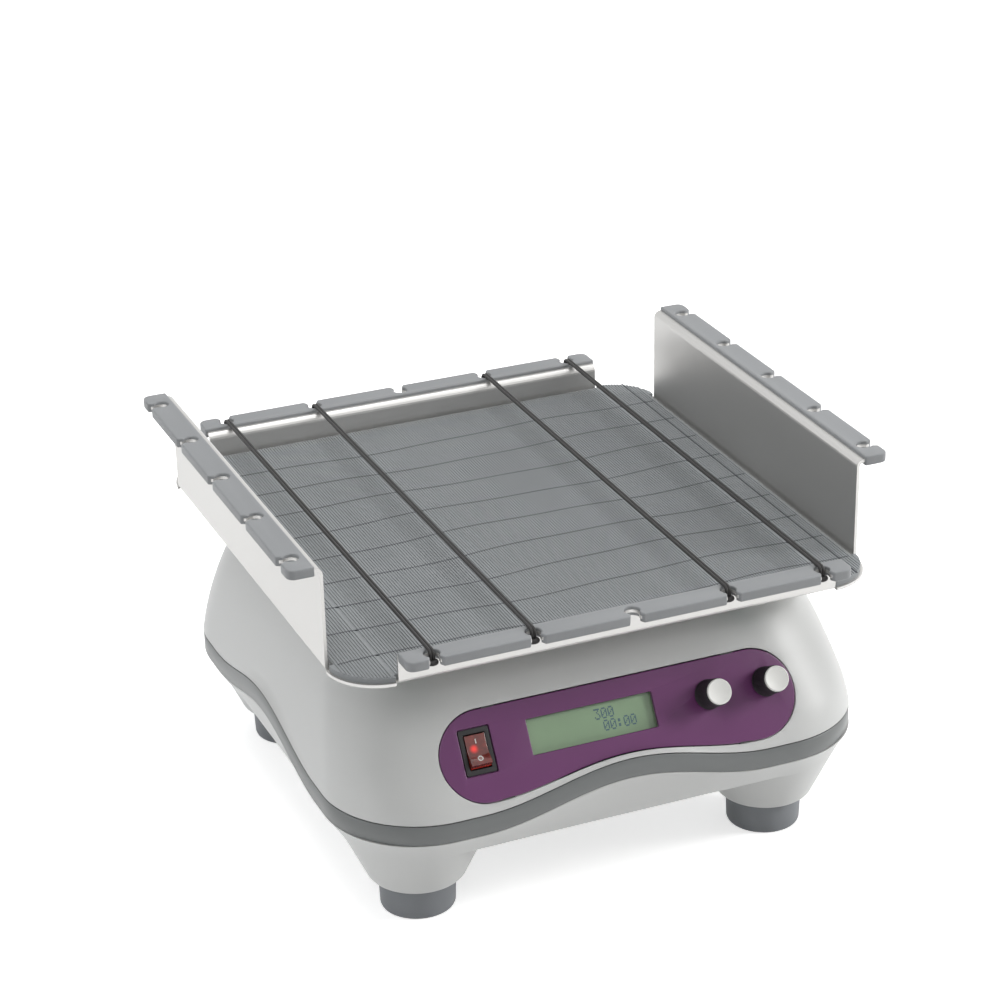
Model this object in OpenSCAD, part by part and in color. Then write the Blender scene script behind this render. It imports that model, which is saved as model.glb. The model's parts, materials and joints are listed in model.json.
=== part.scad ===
// Orbital shaker: a bottle tray that travels on a small flat circle over a moulded housing.
// Lengths are millimetres, Z is up and the front is at -Y. The origin lies on the table
// under the middle of the tray, which rests at the back of its circle.

/* [Orbit] */
// Diameter of the circle that the tray travels on
orbit_d = 19; // [14:1:22]

/* [Housing] */
// Half of the housing's width at the seam
shell_half = 139; // [134:1:142]
// Corner radius of the housing in plan
corner_r = 50; // [44:1:56]
// Wall of the moulded shells
wall = 3; // [2:0.5:4]
// Wall of the leaned front face, which carries the panel
front_wall = 6; // [5.5:0.5:8]
// Height of the trim band's lower edge at the corners
band_z = 56; // [54:0.5:58]
// Height of the trim band
band_h = 10.3; // [8:0.1:12]
// Rise of the wavy seam from the corners to the middle of each side
wave_rise = 12.5; // [6:0.5:13]
// Share of a side's half width over which the wave falls off
wave_reach = 0.55; // [0.5:0.01:0.6]
// Gap of the shadow line above the trim band
seam_gap = 0.4; // [0.3:0.1:0.8]
// Gap under the trim band
band_seat = 0.15; // [0.1:0.05:0.4]
// Height of the shell's flat top
top_z = 131; // [128:0.5:131]
// Height at which the edge of the top starts to round
dome_z = 120; // [117:0.5:122]
// Inset of the rounded top edge
dome_in = 13; // [9:1:16]
// Inward lean of the sides for each millimetre of height
side_lean = 0.13; // [0.08:0.01:0.16]
// Growth of that lean with height
side_curve = 0.0024; // [0.0015:0.0001:0.003]
// Height of the flare that meets the trim band
flare_h = 6; // [4:0.5:8]

/* [Legs and feet] */
// Height of the skirt's lower edge
skirt_z = 43; // [41:0.5:45]
// Inset of the skirt's lower edge from the seam
skirt_in = 9; // [7:0.5:11]
// Floor of the lower shell
floor_t = 3.5; // [2.5:0.5:4]
// Distance of each foot's middle from the housing's sides
foot_in = 44; // [42:1:46]
// Height of a rubber foot
foot_h = 17; // [14:0.5:18]
// Radius of a rubber foot at its top
foot_r = 19.2; // [16:0.2:20]
// Radius of a leg's cone at its lower end, before the edge is rounded
leg_r = 23.6; // [22:0.1:23.8]
// Widening of that cone for each millimetre of height
leg_taper = 0.455; // [0.4:0.005:0.46]
// Rounding of a leg's lower edge
leg_round = 5; // [3:0.5:5.5]

/* [Control panel] */
// Lean of the panel back from upright, in degrees
panel_lean = 32; // [28:1:34]
// Distance of the panel's plane behind the seam's front edge, at the height below
panel_in = 6.4; // [5:0.2:8]
// Height at which that distance is measured
panel_z = 84; // [82:0.5:85]
// Distance of the centres of the panel's round ends from the housing's sides
panel_side = 68.1; // [67:0.1:71]
// Radius of the panel's round ends
panel_r = 22.2; // [20:0.2:22.4]
// Height of those centres up the slope
panel_mid = 9.5; // [9:0.1:10.5]
// Rise of the panel's lower edge in the middle
panel_wave = 8.3; // [4:0.1:9]
// Thickness of the panel plate
panel_t = 2.2; // [1.8:0.1:2.4]
// Depth of the panel's face below the shell
panel_sink = 0.5; // [0.3:0.1:0.8]
// Gap round the panel
panel_gap = 0.25; // [0.15:0.05:0.5]
// Width of the ledge behind the panel's edge
ledge = 5; // [3:0.5:6]

/* [Display and switch] */
// Width of the display opening
lcd_w = 65.7; // [60:0.1:67]
// Height of the display opening
lcd_h = 17.3; // [15:0.1:18]
// Place of the display's middle along X
lcd_x = -14; // [-18:0.5:-12]
// Place of the display's middle up the slope
lcd_v = 13.2; // [12.5:0.1:14]
// Depth of the display's face below the panel's face
lcd_sink = 3; // [2.5:0.1:3.5]
// Width of the switch frame
switch_w = 15.4; // [15:0.1:16.5]
// Height of the switch frame
switch_h = 21.8; // [21.4:0.1:22.4]
// Place of the switch outside the centre of the panel's left end
switch_out = 2.7; // [1.5:0.1:4]
// Place of the switch up the slope
switch_v = 12.3; // [11:0.1:13]
// Width of the rocker
rocker_w = 10.3; // [9:0.1:10.4]
// Half length of the rocker
rocker_l = 7.2; // [6:0.1:7.2]
// Tilt of the rocker to each side, in degrees
rocker_tilt = 12; // [8:1:12]

/* [Knobs] */
// Place of the right knob outside the centre of the panel's right end
knob_out = 7.8; // [6.5:0.1:9]
// Distance between the two knobs
knob_pitch = 31; // [30:0.1:31.5]
// Height of the knobs' centres up the slope
knob_v = 14.2; // [12:0.1:14.5]
// Radius of a knob's skirt at the panel
knob_r = 7.4; // [6.9:0.1:8]
// Radius of a knob's silver cap
knob_cap_r = 6.3; // [5.8:0.1:6.4]
// Height of a knob without its cap
knob_h = 12.5; // [10:0.5:14]
// Number of flutes round a knob
knob_flutes = 24; // [16:1:30]
// Radius of an encoder shaft
encoder_r = 3; // [2.5:0.1:3.2]

/* [Tray] */
// Distance between the outer faces of the tray's opposite walls
tray_w = 278.4; // [270:0.2:282]
// Height of the tray's underside
tray_z = 140; // [139.5:0.5:144]
// Thickness of the tray's sheet
sheet = 1.5; // [1.2:0.1:2]
// Inner bend radius of the sheet
bend_r = 2; // [1.5:0.1:3]
// Height of the two side walls, from the underside of the floor
side_wall_h = 53.4; // [40:0.2:60]
// Height of the two end flanges, from the underside of the floor
end_wall_h = 16.8; // [15:0.2:22]
// Length of the walls and flanges
wall_len = 226; // [222:1:230]
// Width of the outward lips
lip_w = 13.9; // [12.5:0.1:15]
// Width of the relief cut at the ends of a bend
relief = 1; // [0.8:0.1:1.5]

/* [Edging and bands] */
// Thickness of the rubber edging
edging_t = 5; // [4.6:0.1:6]
// Rubber above the lip
edging_over = 1.7; // [1.2:0.1:2]
// Rubber outside the lip's edge
edging_web = 1.5; // [1:0.1:2.5]
// Gap between the edging and the wall's outer face
edging_in = 2.6; // [2.2:0.1:3.5]
// Spacing of the notches
notch_pitch = 50; // [46:1:52]
// Notches in each strip
notch_n = 5; // [5:2:5]
// Width of a notch's neck
notch_w = 5; // [4.9:0.1:5.6]
// Diameter of the round end of a notch
notch_hole = 7.6; // [7.2:0.1:8]
// Width of a notch at its mouth
notch_mouth = 6.8; // [6:0.1:8]
// Depth of a notch
notch_d = 10; // [9:0.1:10.5]
// Thickness of one strand of an elastic band
strand_d = 2.6; // [2.2:0.1:2.8]
// Radius of the bead at each end of a band
bead_r = 4.1; // [4:0.1:4.4]

/* [Mat] */
// Thickness of the mat
mat_t = 3; // [2.6:0.1:4]
// Gap between the mat and the tray's bends
mat_gap = 0.3; // [0.2:0.1:1]

/* [Drive] */
// Outer diameter of a ball bearing
bearing_d = 22; // [19:1:24]
// Width of a ball bearing
bearing_w = 7; // [6:0.5:7]
// Radius of the spindles and the eccentric pins
pin_r = 4; // [3.5:0.1:4.2]
// Running clearance of a spindle in its bearing
run_gap = 0.05; // [0.02:0.01:0.08]
// Radius of the crank discs
disc_r = 16.5; // [16:0.5:18]
// Thickness of the crank discs
disc_t = 5; // [4:0.5:6]
// Radius of the counterweight
weight_r = 40; // [30:1:44]
// Radius of the large pulley
pulley_r = 36; // [30:1:38]
// Radius of the motor pulley
motor_pulley_r = 12; // [10:0.5:14]
// Width of the belt
belt_w = 6.5; // [5:0.5:7]
// Thickness of the belt
belt_t = 1.5; // [1:0.1:2]
// Radius of the motor
motor_r = 28; // [24:1:29]
// Place of the motor along X
motor_x = -68; // [-70:1:-66]
// Place of the motor along Y, from the housing's middle
motor_y = 42; // [40:1:46]

/* [Inner parts] */
// Underside of the chassis plate
chassis_z = 50; // [49:0.5:51]
// Thickness of the chassis plate
chassis_t = 2; // [1.5:0.5:3]
// Height of the underside of the crank discs
disc_z = 108; // [107:0.5:109]
// Distance of the housing screws from the middle along X
post_x = 107; // [104:1:108]
// Distance of the housing screws from the middle along Y
post_y = 46; // [42:1:50]
// Radius of a pad under the tray
pad_r = 9.5; // [8:0.5:10]
// Thickness of a pad under the tray
pad_h = 3; // [2:0.2:3.6]
// Place of the left pads along X
pad_left = -106; // [-110:1:-100]
// Place of the right pads along X
pad_right = 76; // [70:1:90]
// Distance of the pads from the tray's middle along Y
pad_y = 126; // [120:1:126]

/* [Power inlet] */
// Place of the inlet along X
inlet_x = 62; // [58:1:66]
// Height of the inlet's middle
inlet_z = 90; // [89:1:93]
// Width of the inlet's frame
inlet_w = 31; // [30:0.5:34]
// Height of the inlet's frame
inlet_h = 24; // [23:0.5:26]

/* [Hidden] */
orbit_r = orbit_d / 2;
skirt_half = shell_half - skirt_in;
foot_pos = shell_half - foot_in;
panel_y = shell_half - panel_in;
panel_span = 2 * (shell_half - panel_side);
switch_x = -panel_span / 2 - switch_out;
knob_x = panel_span / 2 + knob_out - knob_pitch;
seam_low = band_z + band_h + seam_gap;
side_steps = 12;
corner_steps = 8;
carrier_t = 4;
carrier_z = tray_z - carrier_t;
boss_drop = 4.4;
boss_r = bearing_d / 2 + 3;
opening_r = pin_r + orbit_r + 2;
chassis_top = chassis_z + chassis_t;
tray_half = tray_w / 2;
edging_out = tray_half + lip_w + edging_web;
side_top = tray_z + side_wall_h;
end_top = tray_z + end_wall_h;
mat_z = tray_z + sheet;
pulley_z = disc_z - 13;
stations = [[0, 0], [-78, -52], [78, -52], [0, 84]];
idlers = [stations[1], stations[2], stations[3]];
tray_screw_at = [for (sx = [-1, 1], sy = [-1, 1]) [sx * 84, sy * 84]];
corners = [for (sy = [-1, 1], sx = [-1, 1]) [sx, sy]];
notches = [for (i = [0:notch_n - 1]) (i - (notch_n - 1) / 2) * notch_pitch];
band_at = [notches[0], notches[1], notches[3], notches[4]];
fine = 64;

shell_grey = [0.80, 0.81, 0.81];
band_grey = [0.42, 0.44, 0.45];
rubber_grey = [0.40, 0.42, 0.44];
panel_purple = [0.33, 0.14, 0.37];
metal = [0.82, 0.83, 0.84];
cast = [0.66, 0.67, 0.68];
black = [0.06, 0.06, 0.06];

function lerp(a, b, t) = a + (b - a) * t;

// Rise of the seam at a distance u from the middle of a side
function wave(u) = wave_rise * (1 + cos(180 * min(abs(u) / (wave_reach * shell_half), 1))) / 2;

// Half widths of the upper shell at a height
function side_half(z) = shell_half - side_lean * (z - seam_low) - side_curve * pow(z - seam_low, 2);
function panel_half(z) = panel_y - (z - panel_z) * tan(panel_lean);
function front_half(z) = min(side_half(z), panel_half(z));

// Walk once round a rounded square: each stop is a side number, a share along it and a corner angle
stops = [
    for (k = [0:3]) each concat(
        [for (i = [0:side_steps - 1]) [k, -1 + 2 * i / side_steps, -1]],
        [for (i = [0:corner_steps - 1]) [k, 1, 90 * i / corner_steps]]
    )
];

// Seam rise at a stop: the corners stay low
function stop_rise(s) = s[2] >= 0 ? 0 : wave(s[1] * (shell_half - corner_r));

// Point of a stop on a rounded square with half widths hx, hf to the front and hb to the back.
// The front corners are flatter by e, so that the stops of an inner ring lie beside the outer ones.
function stop_point(s, hx, hf, hb, r, e = 0) =
    let (k = s[0], t = (s[1] + 1) / 2, c = s[2], rf = r - e, cx = hx - r, cf = hf - rf, cb = hb - r)
    c < 0
        ? (k == 0 ? [s[1] * cx, -hf]
            : k == 1 ? [hx, lerp(-cf, cb, t)]
            : k == 2 ? [-s[1] * cx, hb]
            : [-hx, lerp(cb, -cf, t)])
        : (k == 0 ? [cx + r * sin(c), -cf - rf * cos(c)]
            : k == 1 ? [cx + r * cos(c), cb + r * sin(c)]
            : k == 2 ? [-cx - r * sin(c), cb + r * cos(c)]
            : [-cx - r * cos(c), -cf - rf * sin(c)]);

// Ring point of the upper shell, drawn in by inset and by the walls
function upper_point(s, z, inset, side_in, front_in) =
    let (seam = seam_low + stop_rise(s),
         fade = pow(1 - min((z - seam) / flare_h, 1), 2),
         hs = side_half(z) + (shell_half - side_half(seam)) * fade,
         hf = front_half(z) + (shell_half - front_half(seam)) * fade)
    concat(stop_point(s, hs - inset - side_in, hf - inset - front_in, hs - inset - side_in,
                      corner_r - inset / 2 - side_in, front_in - side_in), [z]);

// Rings of one face of the upper shell, from the seam to the flat top
function upper_rings(side_in, front_in, drop, flares, mids, domes) = concat(
    [for (j = [0:flares - 1])
        [for (s = stops) upper_point(s, seam_low + stop_rise(s) + flare_h * j / flares,
                                     0, side_in, front_in)]],
    [for (j = [0:mids])
        [for (s = stops) upper_point(s, lerp(seam_low + stop_rise(s) + flare_h, dome_z - drop, j / mids),
                                     0, side_in, front_in)]],
    [for (j = [1:domes])
        [for (s = stops) upper_point(s, dome_z - drop + (top_z - dome_z) * sin(90 * j / domes),
                                     dome_in * (1 - cos(90 * j / domes)), side_in, front_in)]]
);

// Ring point and rings of the lower shell, from its wavy rim down to the flat floor
function lower_point(s, t, inset, z) =
    concat(stop_point(s, lerp(shell_half, skirt_half, t) - inset, lerp(shell_half, skirt_half, t) - inset,
                      lerp(shell_half, skirt_half, t) - inset, lerp(corner_r, corner_r - 4, t) - inset), [z]);
function rim_z(s) = band_z - band_seat + stop_rise(s);
function lower_rings(inset, floor_z) = concat(
    [for (t = [0, 0.35, 0.7])
        [for (s = stops) lower_point(s, t, inset, lerp(rim_z(s), floor_z, t))]],
    [[for (s = stops) lower_point(s, 0.93, inset, floor_z + 1.2)]],
    [[for (s = stops) lower_point(s, 1, inset + 1.6, floor_z)]]
);

// Ring of the trim band
function band_ring(side_in, front_in, z) =
    [for (s = stops) concat(stop_point(s, shell_half - side_in, shell_half - front_in,
                                       shell_half - side_in, corner_r - side_in, front_in - side_in),
                            [z + stop_rise(s)])];

// Quads that join each ring to the next, all one way round or the other
function skin(rings, n, start, flip) = [
    for (j = [0:rings - 2], i = [0:n - 1])
        let (a = start + j * n + i, b = start + j * n + (i + 1) % n, c = b + n, d = a + n)
        each (flip ? [[a, c, b], [a, d, c]] : [[a, b, c], [a, c, d]])
];
function fan(n, start, hub, flip) = [for (i = [0:n - 1])
    let (a = start + i, b = start + (i + 1) % n) (flip ? [a, b, hub] : [b, a, hub])];

// Thin shell between an outer and an inner stack of rings, closed at the ends that are caps
module thin_shell(outer, inner, upward) {
    n = len(outer[0]);
    no = len(outer);
    ni = len(inner);
    first = no * n;
    hub = first + ni * n;
    points = concat([for (r = outer) each r], [for (r = inner) each r],
                    [[0, 0, outer[no - 1][0][2]], [0, 0, inner[ni - 1][0][2]]]);
    rim = [for (i = [0:n - 1])
        let (a = i, b = (i + 1) % n, c = first + b, d = first + i)
        each (upward ? [[a, c, b], [a, d, c]] : [[a, b, c], [a, c, d]])];
    faces = concat(
        skin(no, n, 0, !upward), skin(ni, n, first, upward), rim,
        fan(n, (no - 1) * n, hub, upward), fan(n, first + (ni - 1) * n, hub + 1, !upward)
    );
    polyhedron(points, [for (f = faces) [f[2], f[1], f[0]]], convexity = 8);
}

// Places
module in_base() {
    translate([0, -orbit_r, 0]) children();
}
module on_panel(x = 0, v = 0, n = 0) {
    in_base() translate([0, -panel_y, panel_z]) rotate([90 - panel_lean, 0, 0])
        translate([x, v, n]) children();
}
module at_each(places) {
    for (p = places) translate([p[0], p[1], 0]) children();
}
module at_corners(d) {
    for (c = corners) translate([c[0] * d, c[1] * d, 0]) children();
}

// Plain shapes
module rod(r, z0, z1, fn = fine) {
    translate([0, 0, z0]) cylinder(r = r, h = z1 - z0, $fn = fn);
}
module tube(r, bore, z0, z1, fn = fine) {
    difference() {
        rod(r, z0, z1, fn);
        rod(bore, z0 - 1, z1 + 1, fn);
    }
}
module block(w, d, z0, z1) {
    translate([-w / 2, -d / 2, z0]) cube([w, d, z1 - z0]);
}
module round_square(half_w, half_d, r) {
    square([2 * half_w, 2 * (half_d - r)], center = true);
    square([2 * (half_w - r), 2 * half_d], center = true);
    for (sx = [-1, 1], sy = [-1, 1]) translate([sx * (half_w - r), sy * (half_d - r)]) circle(r = r, $fn = fine);
}
function arc(cx, cy, r, a0, a1, n) =
    [for (i = [0:n]) [cx + r * cos(lerp(a0, a1, i / n)), cy + r * sin(lerp(a0, a1, i / n))]];

// Outline of the control panel, made larger or smaller by grow
function panel_low(x) = panel_mid - panel_r + panel_wave * (1 + cos(180 * min(abs(x) / (panel_span / 2), 1))) / 2;
module panel_outline(grow) {
    half = panel_span / 2;
    polygon(concat(
        arc(half, panel_mid, panel_r + grow, -90, 90, 16),
        arc(-half, panel_mid, panel_r + grow, 90, 270, 16),
        [for (i = [1:23]) let (x = lerp(-half, half, i / 24)) [x, panel_low(x) - grow]]
    ));
}
module panel_slab(grow, n0, n1) {
    on_panel(0, 0, n0) linear_extrude(n1 - n0) panel_outline(grow);
}

// Upper shell
module upper_shell() {
    post_top = top_z - wall - 0.5;
    color(shell_grey) {
        difference() {
            in_base() thin_shell(upper_rings(0, 0, 0, 3, 7, 5), upper_rings(wall, front_wall, wall, 1, 4, 3), true);
            panel_slab(panel_gap, -panel_sink - panel_t, 12);
            panel_slab(-ledge, -front_wall - 6, 0);
            in_base() at_each(stations) rod(opening_r, top_z - wall - 4, top_z + 2);
            at_inlet() block(inlet_w - 3, inlet_h - 3, -20, 5);
        }
        at_inlet() difference() {
            linear_extrude(20, center = true) round_square(inlet_w / 2 + collar, inlet_h / 2 + collar, 3);
            block(inlet_w - 3, inlet_h - 3, -20, 12);
            collar_back();
            translate([-40, -40, 0]) cube([80, 80, 20]);
        }
        in_base() for (sx = [-1, 1], sy = [-1, 1]) translate([sx * post_x, sy * post_y, 0])
            tube(4.5, 1.5 + run_gap, post_joint, post_top, 32);
    }
}
post_joint = 72;

// Trim band between the two shells
module trim_band() {
    n = len(stops);
    low = band_z;
    high = band_z + band_h;
    rings = [
        band_ring(0, 0, low), band_ring(0, 0, high),
        band_ring(wall, front_wall, high), band_ring(wall, front_wall, low),
        band_ring(0, 0, low)
    ];
    points = [for (j = [0:3]) each rings[j]];
    faces = [for (j = [0:3], i = [0:n - 1])
        let (k = (j + 1) % 4, a = j * n + i, b = j * n + (i + 1) % n, c = k * n + (i + 1) % n, d = k * n + i)
        each [[a, c, b], [a, d, c]]];
    color(band_grey) in_base() polyhedron(points, faces, convexity = 8);
}

// Lower shell with its floor, legs and bosses
chassis_posts = [for (c = corners) [c[0] * 38, c[1] * 87]];
leg_wall = 3.5;
leg_top_z = skirt_z + floor_t + 0.5;
leg_lean = atan(leg_taper);
leg_skin = leg_wall / cos(leg_lean);
function leg_cone(z) = leg_r + leg_taper * (z - foot_h);
module leg_shape() {
    round_z = foot_h + leg_round;
    rotate_extrude($fn = fine) polygon(concat(
        [[0, foot_h]],
        arc(leg_cone(round_z) - leg_round / cos(leg_lean), round_z, leg_round, -90, -leg_lean, 6),
        [[leg_cone(leg_top_z), leg_top_z], [0, leg_top_z]]
    ));
}
// A leg's cone goes on up to the rim on the outer side of its corner, from just inside the leg's own wall
corner_start = 0.2;
module leg_corner() {
    z1 = leg_top_z - 0.5;
    z2 = band_z - band_seat;
    rotate_extrude(angle = 90, $fn = fine) polygon([
        [leg_cone(z1) - leg_skin + corner_start, z1], [leg_cone(z1) - corner_start, z1],
        [leg_cone(z2), z2], [leg_cone(z2) - leg_skin, z2]
    ]);
}
module lower_shell() {
    floor_top = skirt_z + floor_t;
    color(shell_grey) {
        difference() {
            union() {
                in_base() thin_shell(lower_rings(0, skirt_z), lower_rings(wall, floor_top), false);
                in_base() at_corners(foot_pos) leg_shape();
                in_base() for (c = corners) translate([c[0] * foot_pos, c[1] * foot_pos, 0])
                    rotate([0, 0, atan2(c[1], c[0]) - 45]) leg_corner();
            }
            in_base() at_corners(foot_pos) leg_cavity();
            in_base() at_shell_posts() rod(1.5 + 0.3, skirt_z - 1, skirt_z + floor_t + 1, 32);
            in_base() at_shell_posts() rod(3.4, skirt_z - 1, skirt_z + 2, 32);
            in_base() for (i = [-3:3], s = [-1, 1]) translate([s * 34, i * 9, skirt_z - 1])
                linear_extrude(floor_t + 2) square([34, 3], center = true);
        }
        in_base() at_corners(foot_pos) tube(7, 2 + run_gap, foot_h + leg_wall, foot_h + 20, 32);
        in_base() at_shell_posts() tube(4.5, 1.5 + 0.3, floor_top - 0.5, post_joint - 0.1, 32);
        in_base() at_each(chassis_posts) tube(5, 1.5, floor_top - 0.5, chassis_z, 32);
    }
}
module leg_cavity() {
    difference() {
        rotate_extrude($fn = fine) polygon([
            [0, foot_h + leg_wall], [leg_cone(foot_h + leg_wall) - leg_skin, foot_h + leg_wall],
            [leg_cone(leg_top_z) - leg_skin, leg_top_z], [0, leg_top_z]
        ]);
        rod(7, foot_h, foot_h + 20, 32);
    }
    rod(2 + run_gap, foot_h - 1, foot_h + 21, 32);
}
module at_shell_posts() {
    for (sx = [-1, 1], sy = [-1, 1]) translate([sx * post_x, sy * post_y, 0]) children();
}

// Rubber foot with a counterbore for its screw
foot_head_z = 6;
module foot(sx, sy) {
    color(rubber_grey) in_base() translate([sx * foot_pos, sy * foot_pos, 0]) rotate_extrude($fn = fine)
        polygon([
            [5.5, 0], [foot_r - 2, 0], [foot_r - 1, 0.4], [foot_r - 0.6, 1.4], [foot_r, foot_h],
            [2 + run_gap, foot_h], [2 + run_gap, foot_head_z], [5.5, foot_head_z]
        ]);
}
module foot_screws() {
    color(metal) in_base() at_corners(foot_pos) {
        rod(4.5, foot_head_z - 2.5, foot_head_z, 32);
        rod(2, foot_head_z, foot_h + 18, 32);
    }
}
module shell_screws() {
    color(metal) in_base() at_shell_posts() {
        rod(3, skirt_z + 0.4, skirt_z + 2, 32);
        rod(1.5, skirt_z + 2, post_joint + 12, 32);
    }
}
// Control panel plate
module control_panel() {
    back = -panel_sink - panel_t;
    color(panel_purple) difference() {
        union() {
            panel_slab(0, back, -panel_sink);
            on_panel(lcd_x, lcd_v, -panel_sink - 0.2) linear_extrude(0.8) difference() {
                square([lcd_w + 3, lcd_h + 3], center = true);
                square([lcd_w, lcd_h], center = true);
            }
        }
        on_panel(lcd_x, lcd_v, back - 1) linear_extrude(panel_t + 4) square([lcd_w, lcd_h], center = true);
        on_panel(switch_x, switch_v, back - 1) linear_extrude(panel_t + 4)
            square([switch_w - 2.2, switch_h - 1.8], center = true);
        for (i = [0, 1]) on_panel(knob_x + i * knob_pitch, knob_v, 0) rod(bush_r + 0.1, back - 1, 1, 48);
    }
}

// Display cell behind the opening, and the board that carries it
board_n = -11.5;
board_t = 1.6;
module display_cell() {
    color([0.55, 0.70, 0.42]) on_panel(lcd_x, lcd_v, 0) {
        block(lcd_w - 0.4, lcd_h - 0.4, -panel_sink - lcd_sink, -panel_sink - lcd_sink + 0.2);
        block(lcd_w + 5.3, 24, -panel_sink - lcd_sink - 3.5, -panel_sink - lcd_sink);
    }
}
module display_board() {
    color([0.10, 0.36, 0.20]) on_panel(lcd_x, lcd_v, 0) {
        block(lcd_w + 12, 24, -panel_sink - lcd_sink - 3.5 - board_t, -panel_sink - lcd_sink - 3.5);
        for (sx = [-1, 1]) translate([sx * (lcd_w / 2 + 1), 0, 0])
            rod(2.5, board_n, -panel_sink - lcd_sink - 3.5 - board_t, 32);
    }
}

// Rocker switch: frame and body in one moulding, with the rocker on two stub pins
pivot_n = -3;
rocker_gap = 0.35;
frame_t = 1.6;
module switch_frame() {
    body_w = switch_w - 2.4;
    body_h = switch_h - 2;
    back = -panel_sink - 17;
    color(black) on_panel(switch_x, switch_v, 0) difference() {
        union() {
            translate([0, 0, -panel_sink]) linear_extrude(frame_t) round_square(switch_w / 2, switch_h / 2, 1.2);
            block(body_w, body_h, back, -panel_sink);
            for (s = [-1, 1]) translate([s * 3, 0, 0]) block(0.8, 6, back - 6, back);
        }
        block(rocker_w + 2 * rocker_gap, 2 * 8.5, pivot_n - 6.5, 10);
        translate([0, 0, pivot_n]) rotate([0, 90, 0]) cylinder(r = 1.2 + run_gap, h = body_w + 2, center = true, $fn = 32);
    }
}
module rocker() {
    rise = rocker_l * tan(rocker_tilt);
    color([0.75, 0.06, 0.05]) on_panel(switch_x, switch_v, pivot_n) rotate([-rocker_tilt, 0, 0]) {
        rotate([90, 0, 90]) translate([0, 0, -rocker_w / 2]) linear_extrude(rocker_w) polygon([
            [-rocker_l, 3 + rise], [0, 3], [rocker_l, 3 + rise], [rocker_l, 0.5],
            [4, -3.5], [-4, -3.5], [-rocker_l, 0.5]
        ]);
        rotate([0, 90, 0]) cylinder(r = 1.2, h = switch_w - 2.8, center = true, $fn = 32);
    }
}

// Rotary encoders, their shafts and the knobs
bush_r = 3.6;
bush_top = 2.6;
knob_lift = 0.5;
encoder_back = board_n;
module encoder(i) {
    back = -panel_sink - panel_t;
    color(cast) on_panel(knob_x + i * knob_pitch, knob_v, 0) difference() {
        union() {
            block(12, 12, encoder_back, back);
            rod(bush_r, back, bush_top, 48);
            rod(bush_r + 1.3, -panel_sink, -panel_sink + 1.2, 48);
        }
        rod(encoder_r + run_gap, encoder_back + 2, bush_top + 1, 48);
    }
}
module shaft(i) {
    color(metal) on_panel(knob_x + i * knob_pitch, knob_v, 0) rod(encoder_r, encoder_back + 2.3, knob_h - 2, 48);
}
module fluted(r) {
    depth = 0.45;
    steps = knob_flutes * 6;
    polygon([for (i = [0:steps - 1]) let (d = r - depth * (1 + cos(360 * i / 6)) / 2)
        [d * cos(360 * i / steps), d * sin(360 * i / steps)]]);
}
module knob(i) {
    foot_n = -panel_sink + knob_lift;
    top_n = foot_n + knob_h;
    color(black) on_panel(knob_x + i * knob_pitch, knob_v, 0) difference() {
        union() {
            rod(knob_r, foot_n, foot_n + 1.6);
            translate([0, 0, foot_n + 1]) linear_extrude(knob_h - 1.6) fluted(knob_r - 0.5);
            rod(knob_cap_r + 0.2, top_n - 1, top_n);
        }
        rod(bush_r + 1.9, foot_n - 1, bush_top + 0.6, 48);
        rod(encoder_r + 0.02, foot_n, knob_h - 2, 48);
    }
}
module knob_cap(i) {
    top_n = -panel_sink + knob_lift + knob_h;
    color([0.83, 0.83, 0.82]) on_panel(knob_x + i * knob_pitch, knob_v, 0) rotate_extrude($fn = fine)
        polygon([[0, top_n], [knob_cap_r, top_n], [knob_cap_r, top_n + 0.7], [knob_cap_r - 0.4, top_n + 1.1], [0, top_n + 1.1]]);
}

// Electronics
module control_board() {
    left = switch_x + switch_w / 2 + 8;
    right = knob_x + knob_pitch + 15;
    color([0.10, 0.36, 0.20]) on_panel(0, 0, 0) {
        translate([(left + right) / 2, 8, 0]) block(right - left, 27, board_n - board_t, board_n);
        for (x = [lcd_x + 34, lcd_x + 48, right - 8]) translate([x, 0, 0])
            block(9, 9, board_n - board_t - 5, board_n - board_t);
    }
}
psu_x = 70;
psu_y = 46;
module power_supply() {
    base = chassis_top + 6;
    color([0.16, 0.40, 0.22]) in_base() translate([psu_x, psu_y, 0]) block(50, 84, base, base + board_t);
    color(cast) in_base() translate([psu_x, psu_y, 0]) {
        for (sx = [-1, 1], sy = [-1, 1]) translate([sx * 21, sy * 38, 0]) rod(3, chassis_top, base, 32);
        translate([0, 12, 0]) block(34, 30, base + board_t, base + 24);
        translate([0, -10, 0]) block(40, 3, base + board_t, base + 26);
        for (s = [-1, 1]) translate([s * 12, -28, 0]) rod(9, base + board_t, base + 26, 48);
    }
}
collar = 2.5;
inlet_y = side_half(inlet_z - inlet_h / 2 - collar) + 0.4;
module at_inlet() {
    in_base() translate([inlet_x, inlet_y, inlet_z]) rotate([-90, 0, 0]) children();
}
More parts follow.
